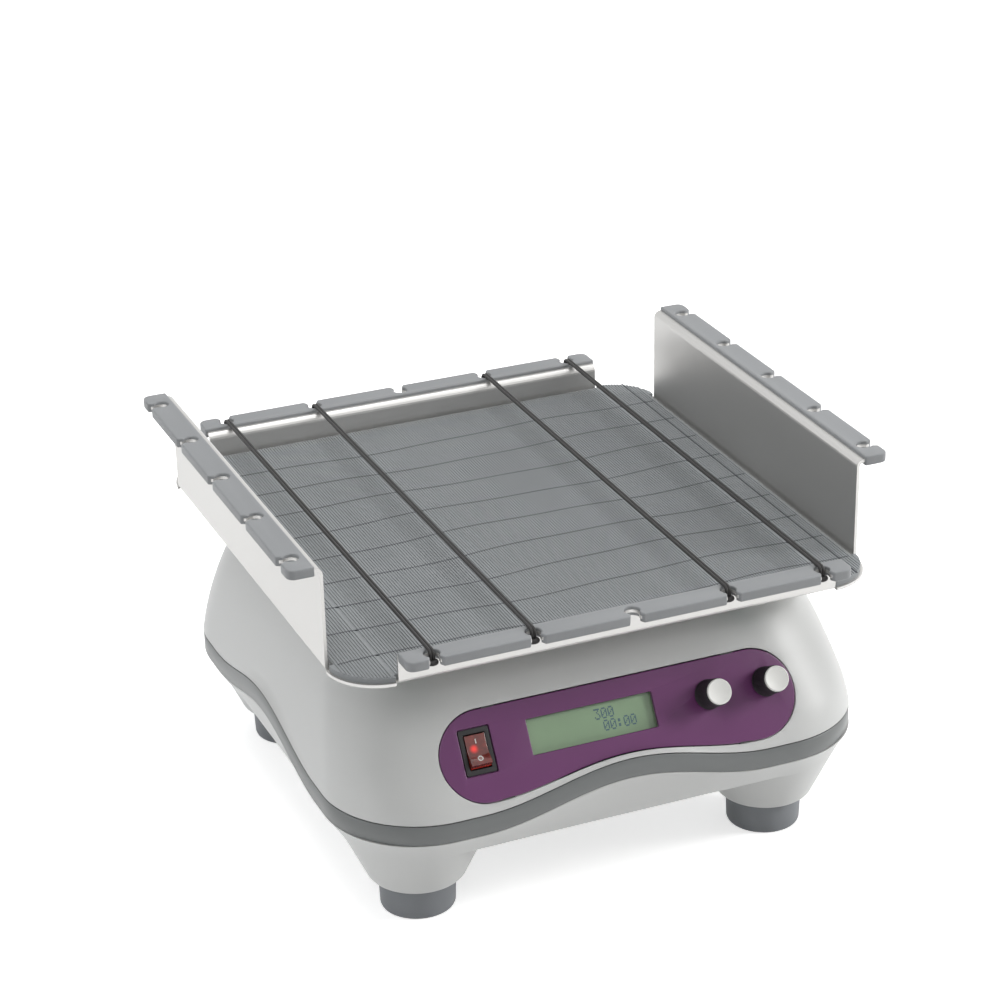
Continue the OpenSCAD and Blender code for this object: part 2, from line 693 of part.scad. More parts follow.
// What lies inside the shell's slope, taken off the back of the inlet's collar
module collar_back() {
    z0 = inlet_z - inlet_h / 2 - collar - 1;
    z1 = inlet_z + inlet_h / 2 + collar + 1;
    rotate([90, 0, 90]) translate([0, 0, -40]) linear_extrude(80) polygon(concat(
        [[inlet_z - z1, -60], [inlet_z - z0, -60]],
        [for (i = [0:8]) let (z = lerp(z0, z1, i / 8)) [inlet_z - z, side_half(z) - 1 - inlet_y]]
    ));
}
module power_inlet() {
    socket_w = 24;
    socket_h = 16.5;
    depth = 18;
    color(black) at_inlet() {
        difference() {
            union() {
                linear_extrude(2) round_square(inlet_w / 2, inlet_h / 2, 2);
                block(inlet_w - 3.4, inlet_h - 3.4, -depth - 2, 0.4);
            }
            block(socket_w, socket_h, -depth, 4);
        }
    }
    color(metal) at_inlet() for (x = [-7, 0, 7]) translate([x, x == 0 ? 3 : -2, 0]) block(2, 4, -depth, -6);
}

// Chassis and the bearings' housings
module chassis_plate() {
    color(metal) in_base() difference() {
        translate([0, 0, chassis_z]) linear_extrude(chassis_t) round_square(98, 98, 14);
        at_each(chassis_posts) rod(1.8, chassis_z - 1, chassis_top + 1, 32);
    }
}
module chassis_screws() {
    color(metal) in_base() at_each(chassis_posts) {
        rod(3.4, chassis_top, chassis_top + 2.4, 32);
        rod(1.45, skirt_z + floor_t + 0.5, chassis_top, 32);
    }
}
housing_top = disc_z - 16;
drive_low_bearing = chassis_top + 1;
drive_high_bearing = housing_top - bearing_w;
idler_top = disc_z - 3;
idler_high_bearing = idler_top - bearing_w;
module spindle_housing(flange_r, body_r, high) {
    difference() {
        union() {
            rod(flange_r, chassis_top, chassis_top + 4);
            rod(body_r, chassis_top, high);
        }
        rod(bearing_d / 2 - 2, chassis_top - 1, high + 1);
        rod(bearing_d / 2, drive_low_bearing, drive_low_bearing + bearing_w);
        rod(bearing_d / 2, high - bearing_w, high + 1);
        rod(bearing_d / 2, chassis_top - 1, drive_low_bearing + 1);
    }
}
module drive_housing() {
    color(cast) in_base() spindle_housing(26, bearing_d / 2 + 5, housing_top);
}
module idler_housing(i) {
    color(cast) in_base() translate([idlers[i][0], idlers[i][1], 0])
        spindle_housing(20, bearing_d / 2 + 3.5, idler_top);
}
module bearing(z) {
    difference() {
        rod(bearing_d / 2, z, z + bearing_w);
        rod(pin_r + run_gap, z - 1, z + bearing_w + 1);
        for (e = [z - 1, z + bearing_w - 0.5]) tube(bearing_d / 2 - 2.2, pin_r + 2.2, e, e + 1.5);
    }
}
module drive_bearings() {
    color(metal) in_base() {
        bearing(drive_low_bearing);
        bearing(drive_high_bearing);
    }
}
module idler_bearings() {
    color(metal) in_base() at_each(idlers) {
        bearing(drive_low_bearing);
        bearing(idler_high_bearing);
    }
}

// Motor, its bracket, belt and pulleys
bracket_z = pulley_z - 5;
bracket_t = 2.5;
module at_motor() {
    in_base() translate([motor_x, motor_y, 0]) children();
}
module motor() {
    color(black) at_motor() difference() {
        union() {
            rod(motor_r, chassis_top + 3, bracket_z);
            rod(9, bracket_z, bracket_z + bracket_t + 0.8);
        }
        rod(pin_r + run_gap, bracket_z - 22, bracket_z + 5);
    }
}
module motor_bracket() {
    half = motor_r + 3;
    color(metal) at_motor() difference() {
        union() {
            block(2 * half + 2 * bracket_t, 44, bracket_z, bracket_z + bracket_t);
            for (s = [-1, 1]) {
                translate([s * (half + bracket_t / 2), 0, 0]) block(bracket_t, 44, chassis_top, bracket_z);
                translate([s * (half - 3), 0, 0]) block(6, 10, chassis_top, chassis_top + bracket_t);
            }
        }
        rod(9 + run_gap, bracket_z - 1, bracket_z + 5);
    }
}
module motor_shaft() {
    color(metal) at_motor() rod(pin_r, bracket_z - 20, pulley_z + belt_w + 2.5);
}
belt_gap = 0.35;
module pulley(r, bore, z) {
    difference() {
        union() {
            rod(r, z, z + belt_w + 2 * belt_gap);
            rod(r + 2, z - 1, z);
            rod(r + 2, z + belt_w + 2 * belt_gap, z + belt_w + 2 * belt_gap + 1);
        }
        rod(bore, z - 2, z + belt_w + 4);
    }
}
module motor_pulley() {
    color(cast) at_motor() pulley(motor_pulley_r, pin_r, pulley_z);
}
module belt_outline(grow) {
    hull() {
        circle(r = pulley_r + grow, $fn = 48);
        translate([motor_x, motor_y]) circle(r = motor_pulley_r + grow, $fn = 32);
    }
}
module drive_belt() {
    color(black) in_base() translate([0, 0, pulley_z + belt_gap]) linear_extrude(belt_w) difference() {
        belt_outline(belt_gap + belt_t);
        belt_outline(belt_gap);
    }
}

// Cranks: spindle, disc and eccentric pin in one forging
pin_top = tray_z - 0.7;
module crank(foot_z) {
    rod(pin_r, foot_z, disc_z);
    rod(disc_r, disc_z, disc_z + disc_t);
    translate([0, orbit_r, 0]) rod(pin_r, disc_z + disc_t, pin_top);
}
module crank_shaft() {
    color(metal) in_base() crank(drive_low_bearing);
}
module idler_crank(i) {
    color(metal) in_base() translate([idlers[i][0], idlers[i][1], 0]) {
        crank(drive_low_bearing);
        rod(pin_r + 2.5, idler_top + 0.3, disc_z, 48);
    }
}
module drive_pulley() {
    color(cast) in_base() difference() {
        union() {
            pulley(pulley_r, pin_r, pulley_z);
            rod(9, pulley_z - 1, disc_z);
        }
        rod(pin_r, pulley_z - 2, disc_z + 1);
        for (k = [0:5]) rotate([0, 0, 60 * k]) translate([22, 0, 0]) rod(8, pulley_z - 2, pulley_z + belt_w + 4, 48);
    }
}
module counterweight() {
    color(cast) in_base() difference() {
        rotate([0, 0, 200]) rotate_extrude(angle = 140, $fn = fine)
            translate([disc_r, disc_z - 1.5]) square([weight_r - disc_r, disc_t + 1.5]);
        for (a = [-30, 0, 30]) rotate([0, 0, 270 + a]) translate([weight_r - 10, 0, 0])
            rod(3, disc_z - 3, disc_z + disc_t + 1, 32);
    }
}

// Carrier under the tray, with a bearing on each eccentric pin
boss_z = carrier_z - boss_drop;
module tray_carrier() {
    color(cast) difference() {
        union() {
            translate([0, 0, carrier_z]) linear_extrude(carrier_t) round_square(100, 104, 20);
            at_each(stations) rod(boss_r, boss_z, carrier_z);
            for (p = idlers) rotate([0, 0, atan2(p[1], p[0])])
                translate([norm(p) / 2, 0, 0]) block(norm(p) - 2 * boss_r + 2, 4, carrier_z - 3, carrier_z);
        }
        at_each(stations) {
            rod(bearing_d / 2, boss_z - 1, boss_z + 0.5 + bearing_w);
            rod(pin_r + 2.5, boss_z, tray_z + 1);
        }
        at_each(tray_screw_at) rod(2, carrier_z - 1, tray_z + 1, 32);
        for (a = [45:90:315]) rotate([0, 0, a]) translate([52, 0, 0]) rod(16, carrier_z - 5, tray_z + 1);
    }
}
module carrier_bearings() {
    color(metal) at_each(stations) bearing(boss_z + 0.5);
}
screw_head_h = 2;
module tray_screws() {
    color(metal) at_each(tray_screw_at) {
        rod(4.5, mat_z, mat_z + screw_head_h, 32);
        rod(2 - run_gap, carrier_z, mat_z, 32);
    }
}

// Clear domed pads under the ends of the tray
module tray_pads() {
    color([0.72, 0.87, 0.85, 0.7]) for (x = [pad_left, pad_right], s = [-1, 1])
        translate([x, s * pad_y, 0]) rotate_extrude($fn = 48)
            polygon(concat([[0, tray_z]], [for (i = [0:6]) [pad_r * cos(15 * i), tray_z - pad_h * sin(15 * i)]]));
}

// Tray: one bent sheet
module bent_wall(h) {
    top = tray_z + h;
    in_x = tray_half - sheet - bend_r;
    low_z = tray_z + sheet + bend_r;
    high_z = top - sheet - bend_r;
    rotate([90, 0, 0]) translate([0, 0, -wall_len / 2]) linear_extrude(wall_len) polygon(concat(
        arc(in_x, low_z, bend_r + sheet, -90, 0, 5),
        arc(tray_half + bend_r, high_z, bend_r, 180, 90, 5),
        [[tray_half + lip_w, top - sheet], [tray_half + lip_w, top]],
        arc(tray_half + bend_r, high_z, bend_r + sheet, 90, 180, 5),
        arc(in_x, low_z, bend_r, 0, -90, 5)
    ));
}
// Keyhole notches, open at the outer edge. The sheet's ones are a little tighter than the rubber's.
notch_x = edging_out - notch_d + notch_hole / 2;
sheet_tight = 0.15;
module notch_cut(z0, z1, tight) {
    neck = notch_w / 2 - tight;
    mouth = notch_mouth / 2 - tight;
    for (t = notches) translate([0, t, z0]) linear_extrude(z1 - z0) {
        translate([notch_x, 0]) circle(r = notch_hole / 2 - tight, $fn = 32);
        polygon([
            [notch_x, -neck], [edging_out - 2.4, -neck], [edging_out, -mouth], [edging_out + 9, -mouth],
            [edging_out + 9, mouth], [edging_out, mouth], [edging_out - 2.4, neck], [notch_x, neck]
        ]);
    }
}
module tray_side(turn, h) {
    rotate([0, 0, turn]) difference() {
        bent_wall(h);
        notch_cut(tray_z + h - 10, tray_z + h + 5, sheet_tight);
    }
}
module tray() {
    edge = 2 * tray_half - sheet - bend_r;
    color(metal) {
        difference() {
            translate([0, 0, tray_z]) linear_extrude(sheet) round_square(tray_half, tray_half, tray_half - wall_len / 2);
            for (turn = [0:90:270]) rotate([0, 0, turn])
                translate([edge / 2, 0, 0]) block(sheet + bend_r + edge - tray_w + sheet + bend_r, wall_len + 2 * relief, tray_z - 1, mat_z + 1);
            at_each(tray_screw_at) rod(2, tray_z - 1, mat_z + 1, 32);
        }
        for (side = [0, 180]) tray_side(side, side_wall_h);
        for (side = [90, 270]) tray_side(side, end_wall_h);
    }
}

// Ribbed mat: the ribs run from front to back
module tray_mat() {
    in_half = tray_half - sheet - bend_r - mat_gap;
    out_half = tray_half - 1;
    color(rubber_grey) difference() {
        translate([0, 0, mat_z]) linear_extrude(mat_t) difference() {
            round_square(out_half, out_half, out_half - wall_len / 2 + 1);
            for (turn = [0:90:270]) rotate([0, 0, turn])
                translate([in_half, -wall_len / 2 - relief]) square([10, wall_len + 2 * relief]);
        }
        at_each(tray_screw_at) rod(5, mat_z - 1, mat_z + screw_head_h + 0.1, 32);
    }
}

// Rubber edging that grips a lip
module edging(turn, top) {
    low = top + edging_over - edging_t;
    high = top + edging_over;
    inner = tray_half + edging_in;
    bevel = 0.8;
    half_len = wall_len / 2 + 1;
    color(rubber_grey) rotate([0, 0, turn]) difference() {
        intersection() {
            rotate([90, 0, 0]) translate([0, 0, -half_len]) linear_extrude(2 * half_len) polygon([
                [inner, low], [edging_out - bevel, low], [edging_out, low + bevel], [edging_out, high - bevel],
                [edging_out - bevel, high], [inner + bevel, high], [inner, high - bevel]
            ]);
            translate([0, 0, low - 1]) linear_extrude(edging_t + 2) union() {
                translate([inner - 1, -half_len]) square([edging_out - inner - 3, 2 * half_len]);
                translate([inner, 4 - half_len]) square([edging_out - inner, 2 * half_len - 8]);
                for (s = [-1, 1]) translate([edging_out - 4, s * (half_len - 4)]) circle(r = 4, $fn = 32);
            }
        }
        translate([inner - 1, -half_len - 1, top - sheet])
            cube([tray_half + lip_w - inner + 1, 2 * half_len + 2, sheet]);
        notch_cut(low - 1, high + 1, 0);
        for (t = notches) translate([notch_x, t, 0]) rod(bead_r + 0.3, low - 1, top - sheet);
    }
}

// Elastic band: two strands that pass through the end notches to a bead under each lip
module strand(y_end, z_run, z_low) {
    bend = 3;
    translate([0, 0, z_run]) rotate([90, 0, 0])
        cylinder(d = strand_d, h = 2 * (y_end - bend), center = true, $fn = 24);
    for (s = [0, 180]) rotate([0, 0, s]) {
        translate([0, y_end - bend, z_run - bend]) rotate([90, 0, 90])
            rotate_extrude(angle = 90, $fn = 48) translate([bend, 0]) circle(d = strand_d, $fn = 24);
        translate([0, y_end, z_low]) cylinder(d = strand_d, h = z_run - bend - z_low, $fn = 24);
    }
}
module elastic_band(x) {
    z_run = end_top + edging_over + strand_d / 2 + 0.05;
    bead_z = end_top - sheet - sqrt(pow(bead_r + 0.1, 2) - pow(notch_hole / 2 - sheet_tight, 2));
    color(black) translate([x, 0, 0]) {
        for (s = [-1, 1]) translate([s * (strand_d / 2 - 0.1), 0, 0]) strand(notch_x, z_run, bead_z);
        for (s = [-1, 1]) translate([0, s * notch_x, bead_z]) sphere(r = bead_r, $fn = 32);
    }
}

lower_shell();
upper_shell();
trim_band();
foot(-1, -1);  // foot_front_left
foot(1, -1);  // foot_front_right
foot(-1, 1);  // foot_rear_left
foot(1, 1);  // foot_rear_right
foot_screws();
shell_screws();
tray_pads();
control_panel();
display_cell();
display_board();
switch_frame();
rocker();
encoder(0);  // time_encoder
encoder(1);  // speed_encoder
shaft(0);  // time_shaft
shaft(1);  // speed_shaft
knob(0);  // time_knob
knob(1);  // speed_knob
knob_cap(0);  // time_knob_cap
knob_cap(1);  // speed_knob_cap
control_board();
power_supply();
power_inlet();
chassis_plate();
chassis_screws();
drive_housing();
drive_bearings();
idler_housing(0);  // idler_housing_left
idler_housing(1);  // idler_housing_right
idler_housing(2);  // idler_housing_rear
idler_bearings();
motor();
motor_bracket();
motor_shaft();
motor_pulley();
drive_belt();
crank_shaft();
drive_pulley();
counterweight();
idler_crank(0);  // idler_crank_left
idler_crank(1);  // idler_crank_right
idler_crank(2);  // idler_crank_rear
tray_carrier();
carrier_bearings();
tray_screws();
tray();
tray_mat();
edging(180, side_top);  // edging_left
edging(0, side_top);  // edging_right
edging(270, end_top);  // edging_front
edging(90, end_top);  // edging_rear
elastic_band(band_at[0]);  // band_far_left
elastic_band(band_at[1]);  // band_left
elastic_band(band_at[2]);  // band_right
elastic_band(band_at[3]);  // band_far_right
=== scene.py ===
"""Looks of the orbital shaker: camera, light, materials and the finely shaped skins of its pieces."""
import json
import math
import bpy
import bmesh
from mathutils import Matrix, Vector


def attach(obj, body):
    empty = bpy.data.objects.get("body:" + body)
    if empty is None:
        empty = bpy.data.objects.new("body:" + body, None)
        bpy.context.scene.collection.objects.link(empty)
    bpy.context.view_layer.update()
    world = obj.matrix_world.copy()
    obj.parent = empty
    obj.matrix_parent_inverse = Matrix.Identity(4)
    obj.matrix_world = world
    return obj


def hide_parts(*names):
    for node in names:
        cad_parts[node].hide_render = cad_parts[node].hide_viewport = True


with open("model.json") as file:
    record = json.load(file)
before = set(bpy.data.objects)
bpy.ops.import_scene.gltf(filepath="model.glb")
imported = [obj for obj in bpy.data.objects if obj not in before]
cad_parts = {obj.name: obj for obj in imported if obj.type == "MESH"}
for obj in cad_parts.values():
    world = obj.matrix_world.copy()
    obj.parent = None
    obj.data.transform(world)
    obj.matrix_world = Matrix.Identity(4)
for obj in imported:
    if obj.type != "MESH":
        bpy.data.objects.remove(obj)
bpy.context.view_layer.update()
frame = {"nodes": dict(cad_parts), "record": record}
nodes = frame["nodes"]
scene = bpy.context.scene

# Lengths are in millimetres, and MM takes them to the frame's metres
MM = 0.001
# Throw of the cranks: at rest the base stands this far from the origin, towards -Y
ORBIT = 9.5
# Centre of the leaned front face, and its lean
PANEL_Y, PANEL_Z, LEAN = 132.6, 84.0, math.radians(32)
# Housing: half width at the seam, height of the seam, corner radius, wall
SHELL, SEAM, CORNER, WALL = 139.0, 66.7, 50.0, 3.0
# Rise of the seam at the middle of each side, and where it ends as a share of the half width
WAVE_RISE, WAVE_REACH = 12.5, 0.55
# Height in which the upper shell leaves the seam's outline
FADE = 6.0
# Start and top of the dome's rounding, and how far it draws in
DOME_Z, TOP_Z, DOME_IN = 120.0, 131.0, 13.0
# Where the drive spindle and the three idlers come through the dome
SPINDLES = ((0, 0), (-78, -52), (78, -52), (0, 84))
# Legs: growth of the radius with height, rounding at the foot, place of their axes
LEG_TAPER, LEG_ROUND, FOOT = 0.455, 5.0, 95.0
# From the panel's axes (x along it, v up it, n out of it) to the frame
PANEL = Matrix.Translation((0, -PANEL_Y - ORBIT, PANEL_Z)) @ Matrix.Rotation(math.pi / 2 - LEAN, 4, "X")
# Panel plate: half distance of its round ends, their height and radius, rise of its lower edge
CAP_HALF, CAP_V, CAP_R, CAP_WAVE = 70.9, 9.5, 22.2, 8.3
# Centre and size on the panel of the display and of the switch's frame
LCD = (-14.0, 13.2, 65.7, 17.3)
SWITCH = (-73.6, 12.3, 15.4, 21.8)
KNOBS = ((47.7, 14.2, "time"), (78.7, 14.2, "speed"))
# Tray: length of its walls, half width, width of its lips, outer edge of the edging
WALL_LEN, TRAY_HALF, LIP, OUT = 226.0, 139.2, 13.9, 154.6
# Notches along each lip, and how far out their holes lie
NOTCHES = (-100, -50, 0, 50, 100)
NOTCH_OUT = 148.4


# Camera and light

def make_camera():
    """The photograph's camera, solved in pixels of a picture 1000 wide and 1008 high."""
    width, height, focal = 1000, 1008, 2824.93
    middle_x, middle_y = 516.47, 641.17
    az, el, roll = (math.radians(a) for a in (-22.8014, 27.4142, -1.1678))
    back = Vector((math.sin(az) * math.cos(el), -math.cos(az) * math.cos(el), math.sin(el)))
    right = Vector((0, 0, 1)).cross(back).normalized()
    up = back.cross(right)
    c, s = math.cos(roll), math.sin(roll)
    right, up = right * c + up * s, up * c - right * s
    data = bpy.data.cameras.new("camera")
    data.sensor_width = 36.0
    data.lens = focal * data.sensor_width / height
    data.shift_x = (width / 2 - middle_x) / height
    data.shift_y = (middle_y - height / 2) / height
    data.clip_end = 50
    cam = bpy.data.objects.new("camera", data)
    m = Matrix((right, up, back)).transposed().to_4x4()
    m.translation = Vector((-502.44, -1204.69, 749.375)) * MM
    cam.matrix_world = m
    scene.collection.objects.link(cam)
    scene.camera = cam


def area_light(name, at, size, power, color=(1, 1, 1)):
    """Lamp in metres and watts, aimed at the middle of the object."""
    data = bpy.data.lights.new(name, "AREA")
    data.shape = "RECTANGLE"
    data.size, data.size_y = size
    data.energy = power
    data.color = color
    lamp = bpy.data.objects.new(name, data)
    lamp.location = Vector(at)
    lamp.rotation_euler = (Vector((0, 0, 0.1)) - Vector(at)).to_track_quat("-Z", "Y").to_euler()
    scene.collection.objects.link(lamp)


def add_node(nt, kind, values=(), **settings):
    """New shader node with its inputs and its own settings."""
    node = nt.nodes.new("ShaderNode" + kind)
    for key, value in settings.items():
        setattr(node, key, value)
    for key, value in dict(values).items():
        node.inputs[key].default_value = value
    return node


def map_range(nt, source, from_min, from_max, to_min, to_max, **settings):
    node = add_node(nt, "MapRange", {"From Min": from_min, "From Max": from_max, "To Min": to_min,
                                     "To Max": to_max}, **settings)
    nt.links.new(source, node.inputs["Value"])
    return node.outputs["Result"]


def seen_rays(nt):
    """One for the rays that should meet the white background: camera, glossy and transmission rays."""
    path = add_node(nt, "LightPath")
    last = path.outputs["Is Camera Ray"]
    for name in ("Is Glossy Ray", "Is Transmission Ray"):
        most = add_node(nt, "Math", operation="MAXIMUM")
        nt.links.new(last, most.inputs[0])
        nt.links.new(path.outputs[name], most.inputs[1])
        last = most.outputs[0]
    return last


def make_world():
    """White to the rays that see it, and a dim light that is stronger from behind."""
    world = bpy.data.worlds.new("studio")
    scene.world = world
    world.use_nodes = True
    nt = world.node_tree
    nt.nodes.clear()
    out = add_node(nt, "OutputWorld")
    soft = add_node(nt, "Background", {"Color": (0.96, 0.98, 1.0, 1)})
    axes = add_node(nt, "SeparateXYZ")
    nt.links.new(add_node(nt, "TexCoord").outputs["Generated"], axes.inputs[0])
    nt.links.new(map_range(nt, axes.outputs["Y"], 0.1, 0.6, 0.04, 0.45), soft.inputs["Strength"])
    white = add_node(nt, "Background", {"Color": (1, 1, 1, 1)})
    mix = add_node(nt, "MixShader")
    nt.links.new(seen_rays(nt), mix.inputs[0])
    nt.links.new(soft.outputs[0], mix.inputs[1])
    nt.links.new(white.outputs[0], mix.inputs[2])
    nt.links.new(mix.outputs[0], out.inputs[0])


def make_floor():
    """White floor that keeps the shadow, and that glows a little more far from the object."""
    bm = bmesh.new()
    bmesh.ops.create_grid(bm, x_segments=1, y_segments=1, size=6.0)
    me = bpy.data.meshes.new("floor")
    bm.to_mesh(me)
    bm.free()
    floor = bpy.data.objects.new("floor", me)
    scene.collection.objects.link(floor)
    m = bpy.data.materials.new("floor")
    m.use_nodes = True
    nt = m.node_tree
    nt.nodes.clear()
    out = add_node(nt, "OutputMaterial")
    diff = add_node(nt, "BsdfDiffuse", {"Color": (0.86, 0.86, 0.86, 1)})
    glow = add_node(nt, "Emission")
    far = add_node(nt, "VectorMath", operation="LENGTH")
    nt.links.new(add_node(nt, "TexCoord").outputs["Object"], far.inputs[0])
    gain = add_node(nt, "Math", operation="MULTIPLY")
    nt.links.new(map_range(nt, far.outputs["Value"], 0.5, 2.0, 0.62, 1.0), gain.inputs[1])
    nt.links.new(seen_rays(nt), gain.inputs[0])
    nt.links.new(gain.outputs[0], glow.inputs["Strength"])
    add = add_node(nt, "AddShader")
    nt.links.new(diff.outputs[0], add.inputs[0])
    nt.links.new(glow.outputs[0], add.inputs[1])
    nt.links.new(add.outputs[0], out.inputs[0])
    me.materials.append(m)


make_camera()
make_world()
make_floor()
scene.view_settings.view_transform = "Standard"
area_light("key", (-1.1, -1.3, 2.1), (1.6, 1.2), 13, (1.0, 0.995, 0.98))
area_light("left", (-2.2, 0.0, 0.9), (1.6, 1.6), 9, (0.98, 0.99, 1.0))
area_light("left_rear", (-1.8, 1.6, 1.2), (1.6, 1.6), 3)
area_light("right_rear", (1.9, 1.4, 1.2), (1.6, 1.6), 6)
area_light("right", (1.9, -0.9, 1.1), (0.5, 1.0), 32, (1.0, 0.995, 0.985))
area_light("top", (0, 0.1, 2.4), (1.8, 1.8), 31)


# Materials

def material(name, color, rough=0.5, metal=0.0, spec=0.5, vary=0.03, grain=900.0, bump=0.05,
             edge_highlight=0.0, coat=0.0, coat_rough=0.2, sheen=0.0, rough_vary=0.08, blotch=18.0, stretch=None,
             transmission=0.0, ior=1.5):
    """Colour with fine grain, slow blotches and, where asked, edges painted paler as a highlight."""
    m = bpy.data.materials.new(name)
    m.use_nodes = True
    nt = m.node_tree
    link = nt.links.new
    b = nt.nodes["Principled BSDF"]
    for key, value in (("Metallic", metal), ("Specular IOR Level", spec), ("IOR", ior), ("Coat Weight", coat),
                       ("Coat Roughness", coat_rough), ("Sheen Weight", sheen),
                       ("Transmission Weight", transmission)):
        b.inputs[key].default_value = value
    tex = add_node(nt, "TexCoord")
    source = tex.outputs["Object"]
    if stretch:
        mapping = add_node(nt, "Mapping", {"Scale": stretch})
        link(source, mapping.inputs["Vector"])
        source = mapping.outputs["Vector"]
    slow = add_node(nt, "TexNoise", {"Scale": blotch, "Detail": 4})
    link(tex.outputs["Object"], slow.inputs["Vector"])
    fine = add_node(nt, "TexNoise", {"Scale": grain, "Detail": 3})
    link(source, fine.inputs["Vector"])
    ramp = add_node(nt, "ValToRGB")
    low, high = ramp.color_ramp.elements
    low.position, high.position = 0.3, 0.7
    low.color = tuple(c * (1 - vary) for c in color) + (1,)
    high.color = tuple(min(c * (1 + vary), 1) for c in color) + (1,)
    link(slow.outputs["Fac"], ramp.inputs[0])
    last = ramp.outputs["Color"]
    # Sharp edges, found by pointiness, are painted paler: a painted highlight along the edges
    if edge_highlight:
        edge = add_node(nt, "ValToRGB")
        edge.color_ramp.elements[0].position = 0.52
        edge.color_ramp.elements[1].position = 0.62
        link(add_node(nt, "NewGeometry").outputs["Pointiness"], edge.inputs[0])
        mix = add_node(nt, "Mix", data_type="RGBA")
        mix.inputs["B"].default_value = tuple(min(c * (1 + edge_highlight) + 0.04 * edge_highlight, 1) for c in color) + (1,)
        link(edge.outputs["Color"], mix.inputs["Factor"])
        link(last, mix.inputs["A"])
        last = mix.outputs["Result"]
    link(last, b.inputs["Base Color"])
    link(map_range(nt, slow.outputs["Fac"], 0, 1, max(rough - rough_vary, 0.02), min(rough + rough_vary, 1)),
         b.inputs["Roughness"])
    if bump:
        relief = add_node(nt, "Bump", {"Strength": bump, "Distance": 0.0003})
        link(fine.outputs["Fac"], relief.inputs["Height"])
        link(relief.outputs["Normal"], b.inputs["Normal"])
    return m


def srgb(r, g, b):
    """Linear colour from the 0 to 255 values of a display."""
    return tuple(((c / 255 + 0.055) / 1.055) ** 2.4 if c > 10 else c / 255 / 12.92 for c in (r, g, b))


# The edging, purple and black materials get their edges painted paler as a painted highlight
MATS = {
    "shell": material("shell", srgb(205, 206, 205), 0.40, spec=0.4, vary=0.012, grain=2600, bump=0.10,
                      rough_vary=0.04, blotch=9),
    "trim": material("trim", srgb(106, 109, 109), 0.36, spec=0.6, vary=0.02, grain=2600, bump=0.06,
                     rough_vary=0.03),
    "foot": material("foot", srgb(134, 137, 141), 0.55, spec=0.35, vary=0.05, grain=1500, bump=0.15),
    "edging": material("edging", srgb(138, 140, 142), 0.50, spec=0.4, vary=0.03, grain=1400, bump=0.10,
                       edge_highlight=0.10),
    "mat": material("mat", srgb(138, 141, 143), 0.55, spec=0.35, vary=0.05, grain=1800, bump=0.12),
    "joint": material("joint", srgb(66, 70, 74), 0.6, vary=0.05, grain=1800, bump=0.1),
    "band": material("band", srgb(34, 32, 32), 0.55, spec=0.35, vary=0.12, grain=2200, bump=0.25, sheen=0.1),
    "tray": material("tray", srgb(196, 195, 193), 0.40, metal=0.88, spec=0.5, vary=0.02, grain=700,
                     bump=0.025, rough_vary=0.06, blotch=9, stretch=(1, 0.05, 1)),
    "purple": material("purple", srgb(100, 49, 97), 0.34, spec=0.5, vary=0.03, grain=3000, bump=0.06,
                       coat=0.05, coat_rough=0.35, edge_highlight=0.35),
    "black": material("black", srgb(26, 26, 27), 0.42, spec=0.45, vary=0.15, grain=2400, bump=0.10, edge_highlight=0.5),
    "silver": material("silver", srgb(220, 220, 217), 0.5, metal=0.1, vary=0.02, grain=2800, bump=0.08),
    "lcd": material("lcd", srgb(139, 165, 133), 0.22, spec=0.5, vary=0.05, grain=300, bump=0.0, coat=0.25,
                    coat_rough=0.08, blotch=30),
    "lcd_ink": material("lcd_ink", srgb(78, 104, 112), 0.5, vary=0.05, bump=0.0),
    "mark": material("mark", srgb(225, 222, 218), 0.5, vary=0.03, bump=0.0),
    "pad": material("pad", srgb(196, 228, 222), 0.18, spec=0.5, vary=0.03, grain=400, bump=0.02,
                    transmission=0.5, ior=1.42),
    "zinc": material("zinc", srgb(188, 190, 192), 0.34, metal=1.0, vary=0.05, grain=1200, bump=0.06),
    "steel": material("steel", srgb(170, 172, 175), 0.24, metal=1.0, vary=0.05, grain=900, bump=0.05,
                      stretch=(1, 1, 14)),
    "cast": material("cast", srgb(176, 178, 180), 0.45, metal=1.0, vary=0.06, grain=700, bump=0.25),
    "iron": material("iron", srgb(92, 92, 92), 0.6, metal=0.9, vary=0.1, grain=500, bump=0.4),
    "board": material("board", srgb(30, 96, 58), 0.4, spec=0.5, vary=0.12, grain=260, bump=0.12, coat=0.3),
    "belt": material("belt", srgb(24, 24, 25), 0.7, vary=0.1, grain=1400, bump=0.3),
}


def lit_red():
    """Dark translucent red of the rocker, lit from within at one spot and along its lower end."""
    m = material("red", srgb(112, 38, 30), 0.14, spec=0.6, vary=0.35, grain=600, bump=0.02, coat=0.5,
                 coat_rough=0.05, blotch=260)
    nt = m.node_tree
    link = nt.links.new
    b = nt.nodes["Principled BSDF"]
    b.inputs["Emission Color"].default_value = (1.0, 0.018, 0.012, 1)
    coords = add_node(nt, "TexCoord").outputs["Object"]
    x, v = SWITCH[:2]
    gap = add_node(nt, "VectorMath", operation="DISTANCE")
    gap.inputs[1].default_value = PANEL @ Vector((x - 1.7, v + 1.4, 0)) * MM
    link(coords, gap.inputs[0])
    spot = map_range(nt, gap.outputs["Value"], 0.0002, 0.0027, 0.85, 0.0, interpolation_type="SMOOTHSTEP")
    axis = (PANEL.to_3x3() @ Vector((0, 1, 0))).normalized()
    down = add_node(nt, "VectorMath", operation="DOT_PRODUCT")
    down.inputs[1].default_value = axis
    link(coords, down.inputs[0])
    base = (PANEL @ Vector((x, v, 0))).dot(axis)
    low = map_range(nt, down.outputs["Value"], (base - 8.0) * MM, (base - 7.3) * MM, 0.30, 0.0)
    both = add_node(nt, "Math", operation="ADD")
    link(spot, both.inputs[0])
    link(low, both.inputs[1])
    link(both.outputs[0], b.inputs["Emission Strength"])
    return m


